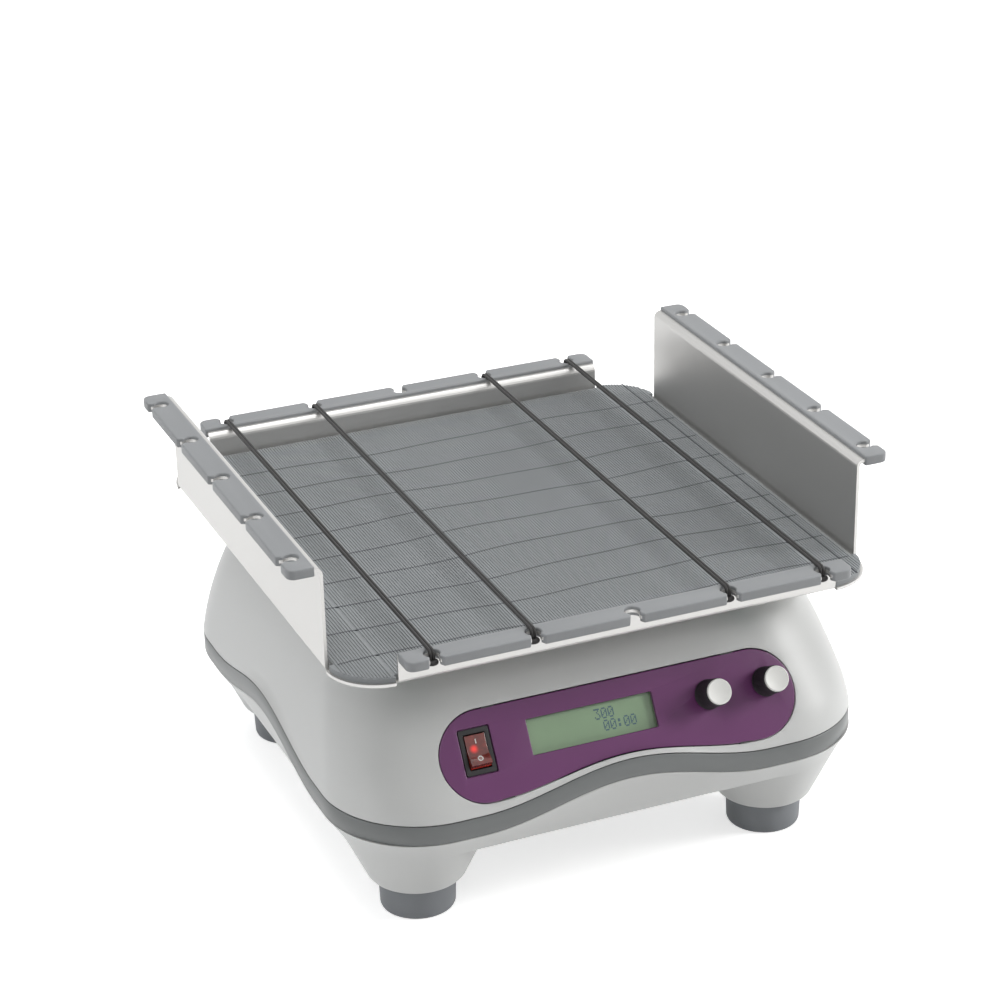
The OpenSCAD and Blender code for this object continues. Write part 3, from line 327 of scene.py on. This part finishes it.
MATS["red"] = lit_red()
SLOT_MATS = {
    "shell": "shell", "trim": "trim", "foot_rubber": "foot", "edging_rubber": "edging", "mat_rubber": "mat",
    "band_rubber": "band", "tray_sheet": "tray", "panel": "purple", "display": "lcd",
    "black_plastic": "black", "red_rocker": "red", "silver_cap": "silver", "pad": "pad", "steel": "steel",
    "zinc": "zinc", "castings": "cast", "iron": "iron", "circuit": "board", "belt": "belt",
}
for part in frame["record"]["subparts"]:
    me = nodes[part["node"]].data
    me.materials.clear()
    me.materials.append(MATS[SLOT_MATS[part["material_slot"]]])


# Mesh helpers

def place(obj, body, slot, *replaced):
    """Give a piece its body, and hide the CAD nodes that it stands in for; slot is not used."""
    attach(obj, body)
    if replaced:
        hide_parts(*replaced)


def new_object(name, verts, faces, mat, angle=30):
    me = bpy.data.meshes.new(name)
    me.from_pydata([Vector(v) * MM for v in verts], [], faces)
    me.validate()
    obj = bpy.data.objects.new(name, me)
    scene.collection.objects.link(obj)
    me.materials.append(MATS[mat])
    outward(obj)
    smooth(obj, angle)
    return obj


def outward(obj):
    """Turn the faces of a closed mesh outward."""
    bm = bmesh.new()
    bm.from_mesh(obj.data)
    bmesh.ops.recalc_face_normals(bm, faces=bm.faces)
    bm.to_mesh(obj.data)
    bm.free()


def smooth(obj, angle=30):
    me = obj.data
    me.polygons.foreach_set("use_smooth", [True] * len(me.polygons))
    me.set_sharp_from_angle(angle=math.radians(angle))
    me.update()


def apply_all(obj, angle=30):
    """Make the modifiers' result the mesh itself."""
    graph = bpy.context.evaluated_depsgraph_get()
    me = bpy.data.meshes.new_from_object(obj.evaluated_get(graph))
    obj.modifiers.clear()
    old = obj.data
    obj.data = me
    bpy.data.meshes.remove(old)
    smooth(obj, angle)


def cut(obj, *cutters, op="DIFFERENCE"):
    """Boolean with each cutter in turn, which are then deleted."""
    for c in cutters:
        md = obj.modifiers.new("cut", "BOOLEAN")
        md.operation = op
        md.solver = "EXACT"
        md.object = c
    apply_all(obj)
    for c in cutters:
        me = c.data
        bpy.data.objects.remove(c)
        bpy.data.meshes.remove(me)


def bevel(obj, width, segments=2, angle=30, shade=40):
    md = obj.modifiers.new("bevel", "BEVEL")
    md.width = width * MM
    md.segments = segments
    md.limit_method = "ANGLE"
    md.angle_limit = math.radians(angle)
    md.use_clamp_overlap = True
    apply_all(obj, shade)


def bridge(a, b, n):
    """Faces between two rings of n points that start at a and at b."""
    return [[a + i, a + (i + 1) % n, b + (i + 1) % n, b + i] for i in range(n)]


def circle(r, steps):
    """Points of a circle about the origin."""
    return [(r * math.cos(2 * math.pi * i / steps), r * math.sin(2 * math.pi * i / steps))
            for i in range(steps)]


def prism(name, outline, z0, z1, mat, to=Matrix.Identity(4)):
    """Straight prism on a plane outline, set in place by a matrix in millimetres."""
    n = len(outline)
    verts = [to @ Vector((x, y, z)) for z in (z0, z1) for x, y in outline]
    faces = [list(range(n))[::-1], list(range(n, 2 * n))] + bridge(0, n, n)
    return new_object(name, verts, faces, mat)


def lathe(name, profile, mat, to=Matrix.Identity(4), steps=64, angle=30):
    """Turned shape about local Z; the profile runs from axis to axis."""
    verts, faces, rings = [], [], []
    for r, z in profile:
        if r < 1e-6:
            rings.append([len(verts)])
            verts.append(to @ Vector((0, 0, z)))
        else:
            rings.append(list(range(len(verts), len(verts) + steps)))
            verts += [to @ Vector((x, y, z)) for x, y in circle(r, steps)]
    for a, b in zip(rings, rings[1:]):
        for i in range(steps):
            j = (i + 1) % steps
            if len(a) == 1 and len(b) > 1:
                faces.append([a[0], b[i], b[j]])
            elif len(b) == 1 and len(a) > 1:
                faces.append([a[i], a[j], b[0]])
            elif len(a) > 1:
                faces.append([a[i], a[j], b[j], b[i]])
    return new_object(name, verts, faces, mat, angle)


def box_outline(w, h, r=0.0, x=0.0, y=0.0, steps=5):
    """Rectangle about (x, y), with rounded corners where r is given."""
    if r <= 0:
        return [(x + sx * w / 2, y + sy * h / 2) for sx, sy in ((-1, -1), (1, -1), (1, 1), (-1, 1))]
    out = []
    for k, (sx, sy) in enumerate(((1, -1), (1, 1), (-1, 1), (-1, -1))):
        for i in range(steps + 1):
            a = math.radians(-90 + 90 * k + 90 * i / steps)
            out.append((x + sx * (w / 2 - r) + r * math.cos(a), y + sy * (h / 2 - r) + r * math.sin(a)))
    return out


def arc(cx, cy, r, a0, a1, n):
    """Points of an arc from a0 to a1 degrees."""
    return [(cx + r * math.cos(math.radians(a0 + (a1 - a0) * i / n)),
             cy + r * math.sin(math.radians(a0 + (a1 - a0) * i / n))) for i in range(n + 1)]


def join(name, objs):
    """One object from several, with their materials kept."""
    bm = bmesh.new()
    mats = []
    for o in objs:
        m = o.data.materials[0]
        if m not in mats:
            mats.append(m)
        start = len(bm.faces)
        bm.from_mesh(o.data)
        bm.faces.ensure_lookup_table()
        for f in bm.faces[start:]:
            f.material_index = mats.index(m)
    me = bpy.data.meshes.new(name)
    bm.to_mesh(me)
    bm.free()
    obj = bpy.data.objects.new(name, me)
    scene.collection.objects.link(obj)
    for m in mats:
        me.materials.append(m)
    for o in objs:
        old = o.data
        bpy.data.objects.remove(o)
        bpy.data.meshes.remove(old)
    return obj


def on_panel(x=0.0, v=0.0, n=0.0):
    return PANEL @ Matrix.Translation((x, v, n))


# Housing

def wave(u):
    """Rise of the seam at a distance from the middle of a side."""
    return WAVE_RISE * (1 + math.cos(math.pi * min(abs(u) / (WAVE_REACH * SHELL), 1))) / 2


def side_half(z):
    """Half width of the upper shell, which leans in and curves."""
    return SHELL - 0.13 * (z - SEAM) - 0.0024 * (z - SEAM) ** 2


def front_half(z):
    """The nearer of the side's curve and the leaned face, with a soft change between them."""
    plane = PANEL_Y - (z - PANEL_Z) * math.tan(LEAN)
    side = side_half(z)
    d = side - plane
    soft = 3.0
    if d > soft:
        return plane
    if d < -soft:
        return side
    return side - (d + soft) ** 2 / (4 * soft)


def stops(side=56, corner=22):
    """Places round the housing: which side, how far along it from -1 to 1, and the corner's angle or -1."""
    out = []
    for k in range(4):
        out += [(k, -1 + 2 * i / side, -1) for i in range(side)]
        out += [(k, 1, 90 * i / corner) for i in range(corner)]
    return out


def rise(s):
    return 0.0 if s[2] >= 0 else wave(s[1] * (SHELL - CORNER))


def stop_point(s, hx, hf, hb, r):
    """Point of a stop on a rounded outline with its half width, front, back and corner radius."""
    k, a, c = s
    cx, cf, cb = hx - r, hf - r, hb - r
    if c < 0:
        t = (a + 1) / 2
        return ((a * cx, -hf), (hx, -cf + (cb + cf) * t), (-a * cx, hb), (-hx, cb - (cf + cb) * t))[k]
    sn, cs = math.sin(math.radians(c)) * r, math.cos(math.radians(c)) * r
    return ((cx + sn, -cf - cs), (cx + cs, cb + sn), (-cx - sn, cb + cs), (-cx - cs, -cf - sn))[k]


def housing(name, outer, inner):
    """Closed wall between an outer and an inner run of rings that both end at the rim."""
    n = len(outer[0])
    verts = [(x, y - ORBIT, z) for r in outer + inner for x, y, z in r]
    inside, last = len(outer) * n, (len(outer) + len(inner) - 1) * n
    faces = []
    for j in range(len(outer) - 1):
        faces += bridge(j * n, (j + 1) * n, n)
    for j in range(len(inner) - 1):
        faces += bridge(inside + j * n, inside + (j + 1) * n, n)
    faces.append([inside - n + i for i in range(n)])
    faces.append([inside + i for i in range(n)])
    faces += bridge(last, 0, n)
    return new_object(name, verts, faces, "shell")


def upper_ring(st, lift, z_of, inset, wall):
    """Ring of the upper shell, at a height that follows the seam as z_of says."""
    out = []
    for s in st:
        seam = SEAM + rise(s)
        z = z_of(seam)
        fade = (1 - min((z - seam) / FADE, 1)) ** 2
        hs = side_half(z) + (SHELL - side_half(seam)) * fade
        hf = front_half(z) + (SHELL - front_half(seam)) * fade
        x, y = stop_point(s, hs - inset - wall, hf - inset - wall, hs - inset - wall,
                          CORNER - inset / 2 - wall)
        out.append((x, y, z + lift))
    return out


def upper_shell():
    """Domed shell with the panel's recess, four spindle openings and the inlet's collar."""
    st = stops()
    rings = [upper_ring(st, 0, lambda s: s, 0, WALL), upper_ring(st, 0, lambda s: s, 0, 0.35),
             upper_ring(st, 0.35, lambda s: s, 0, 0.0)]
    for j in range(1, 8):
        rings.append(upper_ring(st, 0, lambda s: s + FADE * j / 7, 0, 0))
    for j in range(1, 22):
        rings.append(upper_ring(st, 0, lambda s: s + FADE + (DOME_Z - s - FADE) * j / 21, 0, 0))
    for j in range(1, 13):
        a = math.radians(90 * j / 12)
        rings.append(upper_ring(st, 0, lambda s: DOME_Z + (TOP_Z - DOME_Z) * math.sin(a),
                                DOME_IN * (1 - math.cos(a)), 0))
    inner = []
    for j in range(0, 9):
        a = math.radians(90 * (8 - j) / 8)
        inner.append(upper_ring(st, 0, lambda s: DOME_Z - WALL + (TOP_Z - DOME_Z) * math.sin(a),
                                DOME_IN * (1 - math.cos(a)), WALL))
    for j in range(1, 8):
        inner.append(upper_ring(st, 0, lambda s: DOME_Z - WALL + (s + 1 - DOME_Z + WALL) * j / 7, 0, WALL))
    obj = housing("upper_shell_skin", rings, inner)
    cutters = [prism("c1", panel_outline(0.5), -2.7, 14, "shell", PANEL),
               prism("c2", panel_outline(-5), -14, 1, "shell", PANEL)]
    for x, y in SPINDLES:
        cutters.append(lathe("c3", [(0, 118), (15.5, 118), (15.5, 140), (0, 140)], "shell",
                             Matrix.Translation((x, y - ORBIT, 0)), 72))
    inlet = Matrix.Translation((62, 128.57, 90)) @ Matrix.Rotation(-math.pi / 2, 4, "X")
    cut(obj, prism("collar", box_outline(36, 29, 3), -6.2, 0, "shell", inlet), op="UNION")
    cutters.append(prism("c4", box_outline(28, 21, 1), -30, 4, "shell", inlet))
    cut(obj, *cutters)
    bevel(obj, 0.3, 2, 40, 42)
    place(obj, "base", "shell", "upper_shell")


def panel_low(x):
    """Lower edge of the panel plate, which rises in the middle."""
    return CAP_V - CAP_R + CAP_WAVE * (1 + math.cos(math.pi * min(abs(x) / CAP_HALF, 1))) / 2


def panel_outline(grow, n=28, low=48):
    """Outline of the panel plate, grown by so much."""
    pts = arc(CAP_HALF, CAP_V, CAP_R + grow, -90, 90, n) + arc(-CAP_HALF, CAP_V, CAP_R + grow, 90, 270, n)
    pts += [(x, panel_low(x) - grow) for x in (-CAP_HALF + 2 * CAP_HALF * i / low for i in range(1, low))]
    return pts


def trim_band():
    """Band along the wavy seam, with softened edges."""
    st = stops()
    lo, hi = 56.0, 66.2

    def ring(wall, z):
        out = []
        for s in st:
            x, y = stop_point(s, SHELL - wall, SHELL - wall, SHELL - wall, CORNER - wall)
            out.append((x, y, z + rise(s)))
        return out
    rings = [ring(WALL, lo), ring(0.3, lo), ring(0, lo + 0.3), ring(0, (lo + hi) / 2), ring(0, hi - 0.3),
             ring(0.3, hi), ring(WALL, hi)]
    n = len(st)
    verts = [(x, y - ORBIT, z) for r in rings for x, y, z in r]
    faces = []
    for j in range(len(rings)):
        faces += bridge(j * n, (j + 1) % len(rings) * n, n)
    place(new_object("trim_band_skin", verts, faces, "trim", 50), "base", "trim", "trim_band")


def leg_cone(z):
    """Radius of a leg at a height."""
    return 23.6 + LEG_TAPER * (z - 17.0)


def leg_blend(x, y, z, soft=3.0):
    """Push a point of the skirt out to a leg's cone, with a soft crease where they meet."""
    d = math.hypot(x, y)
    ux, uy = x / d, y / d
    cx, cy = math.copysign(FOOT, x), math.copysign(FOOT, y)
    mid = ux * cx + uy * cy
    under = mid * mid - (cx * cx + cy * cy) + (leg_cone(z) + 0.02) ** 2
    if under <= 0:
        return x, y
    gap = mid + math.sqrt(under) - d
    if gap <= -soft:
        return x, y
    d += gap if gap >= soft else (gap + soft) ** 2 / (4 * soft)
    return ux * d, uy * d


def lower_shell():
    """Skirt with its four legs, air slots and screw counterbores."""
    st = stops(72, 36)
    floor = 43.0

    def ring(inset, t, z=None, legs=True):
        out = []
        h = SHELL + (130.0 - SHELL) * t
        for s in st:
            x, y = stop_point(s, h - inset, h - inset, h - inset, CORNER - 4 * t - inset)
            rim = 55.85 + rise(s)
            zz = rim + (floor - rim) * t if z is None else z
            if legs:
                x, y = leg_blend(x, y, zz)
            out.append((x, y, zz))
        return out
    outer = [ring(0.3, 0)] + [ring(0, t / 16 * 0.93 + 0.02) for t in range(17)]
    for j in range(1, 7):
        a = math.radians(90 * j / 6)
        outer.append(ring(1.8 * (1 - math.cos(a)), 0.96, floor + 1.4 * (1 - math.sin(a))))
    inner = [ring(WALL, 0.98, floor + 3.5, False)] + [ring(WALL, t, None, False) for t in (0.7, 0.35, 0.0)]
    obj = housing("lower_shell_skin", outer, inner)
    lean = math.degrees(math.atan(LEG_TAPER))
    edge_z = 17 + LEG_ROUND
    edge_r = leg_cone(edge_z) - LEG_ROUND / math.cos(math.radians(lean))
    foot_edge = arc(edge_r, edge_z, LEG_ROUND, -90, -lean, 12)
    cone = [(leg_cone(z), z) for z in (26, 30, 34, 38, 42, 45)]
    legs = [lathe("leg", [(0, 17)] + foot_edge + cone + [(0, 45)], "shell",
                  Matrix.Translation((sx * FOOT, sy * FOOT - ORBIT, 0)), 144)
            for sx in (-1, 1) for sy in (-1, 1)]
    cut(obj, *legs, op="UNION")
    slots = []
    for i in range(-3, 4):
        for s in (-1, 1):
            slots.append(prism("slot", box_outline(34, 3, 1.4, s * 34, i * 9 - ORBIT), 40, 49, "shell"))
    for sx in (-1, 1):
        for sy in (-1, 1):
            bore = [(0, 40), (3.4, 40), (3.4, 45), (1.8, 45), (1.8, 52), (0, 52)]
            slots.append(lathe("bore", bore, "shell", Matrix.Translation((sx * 107, sy * 46 - ORBIT, 0)), 40))
    cut(obj, *slots)
    smooth(obj, 40)
    place(obj, "base", "shell", "lower_shell")


upper_shell()
trim_band()
lower_shell()


# Control panel

def control_panel():
    """Plate with rounded openings, and a seat behind the switch's sunk frame."""
    plate = prism("plate", panel_outline(0), -2.7, -0.5, "purple", PANEL)
    x, v, w, h = LCD
    sx, sv, sw, sh = SWITCH
    holes = [prism("c", box_outline(w, h, 0.5, x, v), -4, 1, "purple", PANEL),
             prism("c", box_outline(sw + 0.9, sh + 0.9, 0.8, sx, sv), -4, 1, "purple", PANEL)]
    for kx, kv, _ in KNOBS:
        holes.append(lathe("c", [(0, -4), (3.7, -4), (3.7, 1), (0, 1)], "purple", on_panel(kx, kv), 48))
    cut(plate, *holes)
    bevel(plate, 0.75, 5)
    seat = prism("seat", box_outline(sw + 3.5, sh + 3.5, 1, sx, sv), -3.6, -2.6, "purple", PANEL)
    cut(seat, prism("c", box_outline(sw - 2.2, sh - 1.8, 0.3, sx, sv), -4, 0, "purple", PANEL))
    clips = [prism("clip", box_outline(6.3, 1.1, 0.2, cx, cv), -2.7, -0.52, "black", PANEL)
             for cx, cv in ((-64.2, 31.5), (61.6, 31.5), (-63.6, -12.0), (61.6, -11.9))]
    place(join("control_panel_skin", [plate, seat] + clips), "base", "panel", "control_panel")


DIGITS = {
    "0": "01110 10001 10011 10101 11001 10001 01110", "3": "11111 00010 00100 00010 00001 10001 01110",
    ":": "00000 01100 01100 00000 01100 01100 00000",
}


def display_figures():
    """Plain figures on the display, as square dots of a 5 by 7 matrix."""
    x0, v0 = LCD[0] - 29.3, LCD[1] + 6.2
    dot, pitch = 0.58, 0.6
    verts, faces = [], []
    for row, col0, text in ((0, 9, "300"), (1, 10, "00:00")):
        for k, ch in enumerate(text):
            for r, bits in enumerate(DIGITS[ch].split()):
                for c, bit in enumerate(bits):
                    if bit == "1":
                        x = x0 + (col0 + k) * 3.55 + c * pitch
                        v = v0 - row * 6.0 - r * 0.76
                        b = len(verts)
                        for z in (-3.29, -3.25):
                            verts += [PANEL @ Vector((x + dx, v + dv, z)) for dx, dv in
                                      ((0, 0), (dot, 0), (dot, -0.74), (0, -0.74))]
                        faces += [[b, b + 1, b + 2, b + 3], [b + 4, b + 5, b + 6, b + 7]]
                        faces += bridge(b, b + 4, 4)
    place(new_object("display_figures", verts, faces, "lcd_ink"), "base", "display")


def knob(x, v, name):
    """Finely fluted black skirt and a silver cap with a turned rim."""
    foot, top = 0.0, 12.5
    flutes, deep = 60, 0.22
    steps = flutes * 6
    profile = [(7.4, foot), (7.4, foot + 0.9), (7.2, foot + 1.2), (7.05, foot + 1.6), (6.75, top - 0.8),
               (6.5, top - 0.15), (6.3, top)]
    verts, faces = [], []
    to = on_panel(x, v)
    for k, (r, z) in enumerate(profile):
        for i in range(steps):
            a = 2 * math.pi * i / steps
            d = deep * (1 - math.cos(a * flutes)) / 2 if 3 <= k <= 4 else 0.0
            verts.append(to @ Vector(((r - d) * math.cos(a), (r - d) * math.sin(a), z)))
    for k in range(len(profile) - 1):
        faces += bridge(k * steps, (k + 1) * steps, steps)
    n = (len(profile) - 1) * steps
    faces.append([n + i for i in range(steps)])
    bore = len(verts)
    for z in (foot, 3.2):
        verts += [to @ Vector((px, py, z)) for px, py in circle(5.5, steps)]
    faces += bridge(0, bore, steps)
    faces += bridge(bore, bore + steps, steps)
    faces.append([bore + steps + i for i in range(steps)])
    skirt = new_object(name + "_knob_skirt", verts, faces, "black", 50)
    place(skirt, name + "_dial", "black_plastic", name + "_knob")
    disc = [(0, 0), (6.2, 0), (6.3, 0.12), (6.3, 0.75), (6.1, 1.0), (5.85, 1.08), (5.6, 1.0), (5.4, 0.92), (0, 0.92)]
    cap = lathe(name + "_knob_disc", [(r, top + z) for r, z in disc], "silver", on_panel(x, v), 96, 50)
    place(cap, name + "_dial", "silver_cap", name + "_knob_cap")


def switch():
    """Black frame sunk in the panel, and the rocker with its upper end pressed in."""
    x, v, w, h = SWITCH
    case = prism("f", box_outline(w, h, 1.0, x, v), -2.6, -1.1, "black", PANEL)
    cut(case, prism("b", box_outline(w - 2.4, h - 2, 0.2, x, v), -17.5, -2.0, "black", PANEL), op="UNION")
    cut(case, prism("c", box_outline(11.0, 17.0, 0.3, x, v), -9.5, 3, "black", PANEL))
    bevel(case, 0.4, 4)
    tabs = [prism("t", box_outline(0.8, 6, 0, x + s * 3, v), -23.5, -17.4, "zinc", PANEL) for s in (-1, 1)]
    place(join("switch_frame_skin", [case] + tabs), "base", "black_plastic", "switch_frame")
    to = on_panel(x, v, -3) @ Matrix.Rotation(math.radians(-12), 4, "X")
    prof = [(-7.3, 4.1), (-3.6, 3.2), (0, 2.7), (3.6, 3.2), (7.3, 4.1), (8.2, 0.4), (4, -3.5), (-4, -3.5),
            (-8.2, 0.4)]
    across = Matrix(((0, 0, 1, 0), (1, 0, 0, 0), (0, 1, 0, 0), (0, 0, 0, 1)))
    red = prism("r", prof, -5.15, 5.15, "red", to @ across)
    bevel(red, 0.25, 3, 25)
    pin = lathe("p", [(0, -6.3), (1.2, -6.3), (1.2, 6.3), (0, 6.3)], "red",
                to @ Matrix.Rotation(math.pi / 2, 4, "Y"), 32)
    fold = math.atan2(0.9, 3.7)
    bar = prism("m", box_outline(0.55, 2.2), 0.0, 0.06, "mark",
                to @ Matrix.Translation((0, 4.2, 3.37)) @ Matrix.Rotation(fold, 4, "X"))
    ring = lathe("m", [(0.85, 0), (1.4, 0), (1.4, 0.06), (0.85, 0.06), (0.85, 0)], "mark",
                 to @ Matrix.Translation((0, -4.4, 3.42)) @ Matrix.Rotation(-fold, 4, "X"), 40)
    place(join("rocker_skin", [red, pin, bar, ring]), "power_rocker", "red_rocker", "rocker")


control_panel()
display_figures()
for kx, kv, kname in KNOBS:
    knob(kx, kv, kname)
switch()


# Tray dressing

def edging(name, turn, top):
    """Rubber edging with rounded corners, its slot for the lip and its notches."""
    low, high = top - 3.3, top + 1.7
    inner, half = TRAY_HALF + 2.6, WALL_LEN / 2 + 1
    out = [(inner, -half)]
    out += arc(OUT - 4, -half + 4, 4, -90, 0, 8)
    hole, neck, mouth, r = 3.8, 2.5, 3.4, 0.9
    cx = OUT - 10 + hole
    for t in NOTCHES:
        out += arc(OUT - r, t - mouth - r, r, 0, 70, 4) + [(OUT - 2.4, t - neck)]
        out += [(cx - hole * math.sin(math.radians(a)), t - hole * math.cos(math.radians(a)))
                for a in (-48.9 + 277.8 * i / 22 for i in range(23))]
        out += [(OUT - 2.4, t + neck)] + arc(OUT - r, t + mouth + r, r, -70, 0, 4)
    out += arc(OUT - 4, half - 4, 4, 0, 90, 8)
    out += [(inner, half)]
    spin = Matrix.Rotation(math.radians(turn), 4, "Z")
    obj = prism(name + "_skin", out, low, high, "edging", spin)
    bevel(obj, 0.75, 4, 50)
    lip = box_outline(LIP + 2, WALL_LEN + 0.2, 0, TRAY_HALF + LIP - (LIP + 2) / 2, 0)
    slot = prism("c", lip, top - 1.5, top, "edging", spin)
    beads = [lathe("c", [(0, low - 1), (4.4, low - 1), (4.4, top - 1.5), (0, top - 1.5)], "edging",
                   spin @ Matrix.Translation((NOTCH_OUT, t, 0)), 40) for t in NOTCHES]
    cut(obj, slot, *beads)
    smooth(obj, 40)
    place(obj, "platform", "edging_rubber", name)


def tray_mat():
    """Mat with fine ribs that run from front to back, on the outline of the tray's floor."""
    z0, z1, deep, pitch = 141.5, 144.5, 0.45, 1.45
    in_half, out_half = TRAY_HALF - 3.8, TRAY_HALF - 1
    r = out_half - WALL_LEN / 2 + 1
    reach = WALL_LEN / 2 + 1

    def y_half(x):
        x = abs(x)
        return in_half if x <= reach else out_half - r + math.sqrt(max(r * r - (x - out_half + r) ** 2, 0))

    def strip(xs, span):
        cols = []
        for x, h in xs:
            lo, hi = span(x)
            e = min(0.35, (hi - lo) / 4)
            top = z1 - deep
            col = []
            for y, z in ((lo, top - 0.1), (lo + e, top + h), (hi - e, top + h), (hi, top - 0.1), (hi, z0),
                         (lo, z0)):
                col.append(len(verts))
                verts.append((x, y, z))
            cols.append(col)
        for a, b in zip(cols, cols[1:]):
            faces.extend([a[i], b[i], b[(i + 1) % 6], a[(i + 1) % 6]] for i in range(6))
        faces.append(cols[0])
        faces.append(cols[-1][::-1])

    def ribs(a, b):
        xs = [(a, 0.0)]
        k = math.ceil(a / pitch)
        while (k + 0.8) * pitch < b:
            x = k * pitch
            xs += [(x, 0.0), (x + 0.1, deep), (x + 0.9, deep), (x + 1.0, 0.0)]
            k += 1
        return [q for i, q in enumerate(xs) if i == 0 or q[0] > xs[i - 1][0] + 1e-3] + [(b, 0.0)]
    verts, faces = [], []
    strip(ribs(-in_half, -reach - 0.01), lambda x: (-y_half(x), y_half(x)))
    strip(ribs(-reach, reach), lambda x: (-in_half, in_half))
    strip(ribs(reach + 0.01, in_half), lambda x: (-y_half(x), y_half(x)))
    for sx in (-1, 1):
        for sy in (-1, 1):
            xs = [(sx * (in_half + q), 0.2) for q in (0.02, 0.8, 1.6, 2.2)]

            def span(x):
                ends = sorted((sy * (reach + 0.3), sy * y_half(x)))
                return ends[0], ends[1]
            strip(xs, span)
    obj = new_object("tray_mat_ribs", verts, faces, "mat", 20)
    place(obj, "platform", "mat_rubber", "tray_mat")
    low, high, half = z1 - 0.3, z1 + 0.03, 0.34
    verts, faces = [], []
    for k in range(9):
        for x in range(-134, 136, 3):
            y = -116.2 + 27.6 * k + 2.0 * math.sin(x * 0.034 + 0.9 * k + 4.6) + 0.6 * math.sin(x * 0.09 + k)
            verts += [(x, y - half, low), (x, y + half, low), (x, y + half, high), (x, y - half, high)]
            if x > -134:
                faces += bridge(len(verts) - 8, len(verts) - 4, 4)
    faces += bridge(len(verts), len(verts) + 4, 4)
    for y in (-134, 134):
        verts += [(127.6, y, low), (128.2, y, low), (128.2, y, high), (127.6, y, high)]
    place(new_object("tray_mat_joints", verts, faces, "joint"), "platform", "mat_rubber")


def band(name, x):
    """Two thin cords side by side, bent down through a notch at each end onto a flat stop."""
    r, bend, z_run, apart = 0.78, 2.6, 159.36, 0.72
    right = [(NOTCH_OUT, 154.0)] + arc(NOTCH_OUT - bend, z_run - bend, bend, 0, 90, 8)
    path = right + [(y, z_run) for y in (100, 50, 0, -50, -100)] + [(-y, z) for y, z in reversed(right)]
    objs = []
    for s in (-1, 1):
        verts, faces, n = [], [], 14
        for k, (y, z) in enumerate(path):
            a, b = path[max(k - 1, 0)], path[min(k + 1, len(path) - 1)]
            ty, tz = b[0] - a[0], b[1] - a[1]
            size = math.hypot(ty, tz)
            ty, tz = ty / size, tz / size
            verts += [(x + s * apart + c, y - tz * q, z + ty * q) for c, q in circle(r, n)]
        for k in range(len(path) - 1):
            faces += bridge(k * n, (k + 1) * n, n)
        faces += [list(range(n)), list(range(len(verts) - n, len(verts)))]
        objs.append(new_object("cord", verts, faces, "band", 60))
    for s in (-1, 1):
        objs.append(lathe("stop", [(0, 152.4), (2.2, 152.6), (2.9, 153.1), (3.1, 153.7), (2.9, 154.3),
                                   (2.2, 154.8), (0, 154.9)], "band",
                          Matrix.Translation((x, s * NOTCH_OUT, 0)), 32, 60))
    place(join(name + "_skin", objs), "platform", "band_rubber", name)


tray_mat()
for bname, bx in (("band_far_left", -100), ("band_left", -50), ("band_right", 50), ("band_far_right", 100)):
    band(bname, bx)
for ename, turn, top in (("edging_left", 180, 193.4), ("edging_right", 0, 193.4),
                         ("edging_front", 270, 156.8), ("edging_rear", 90, 156.8)):
    edging(ename, turn, top)
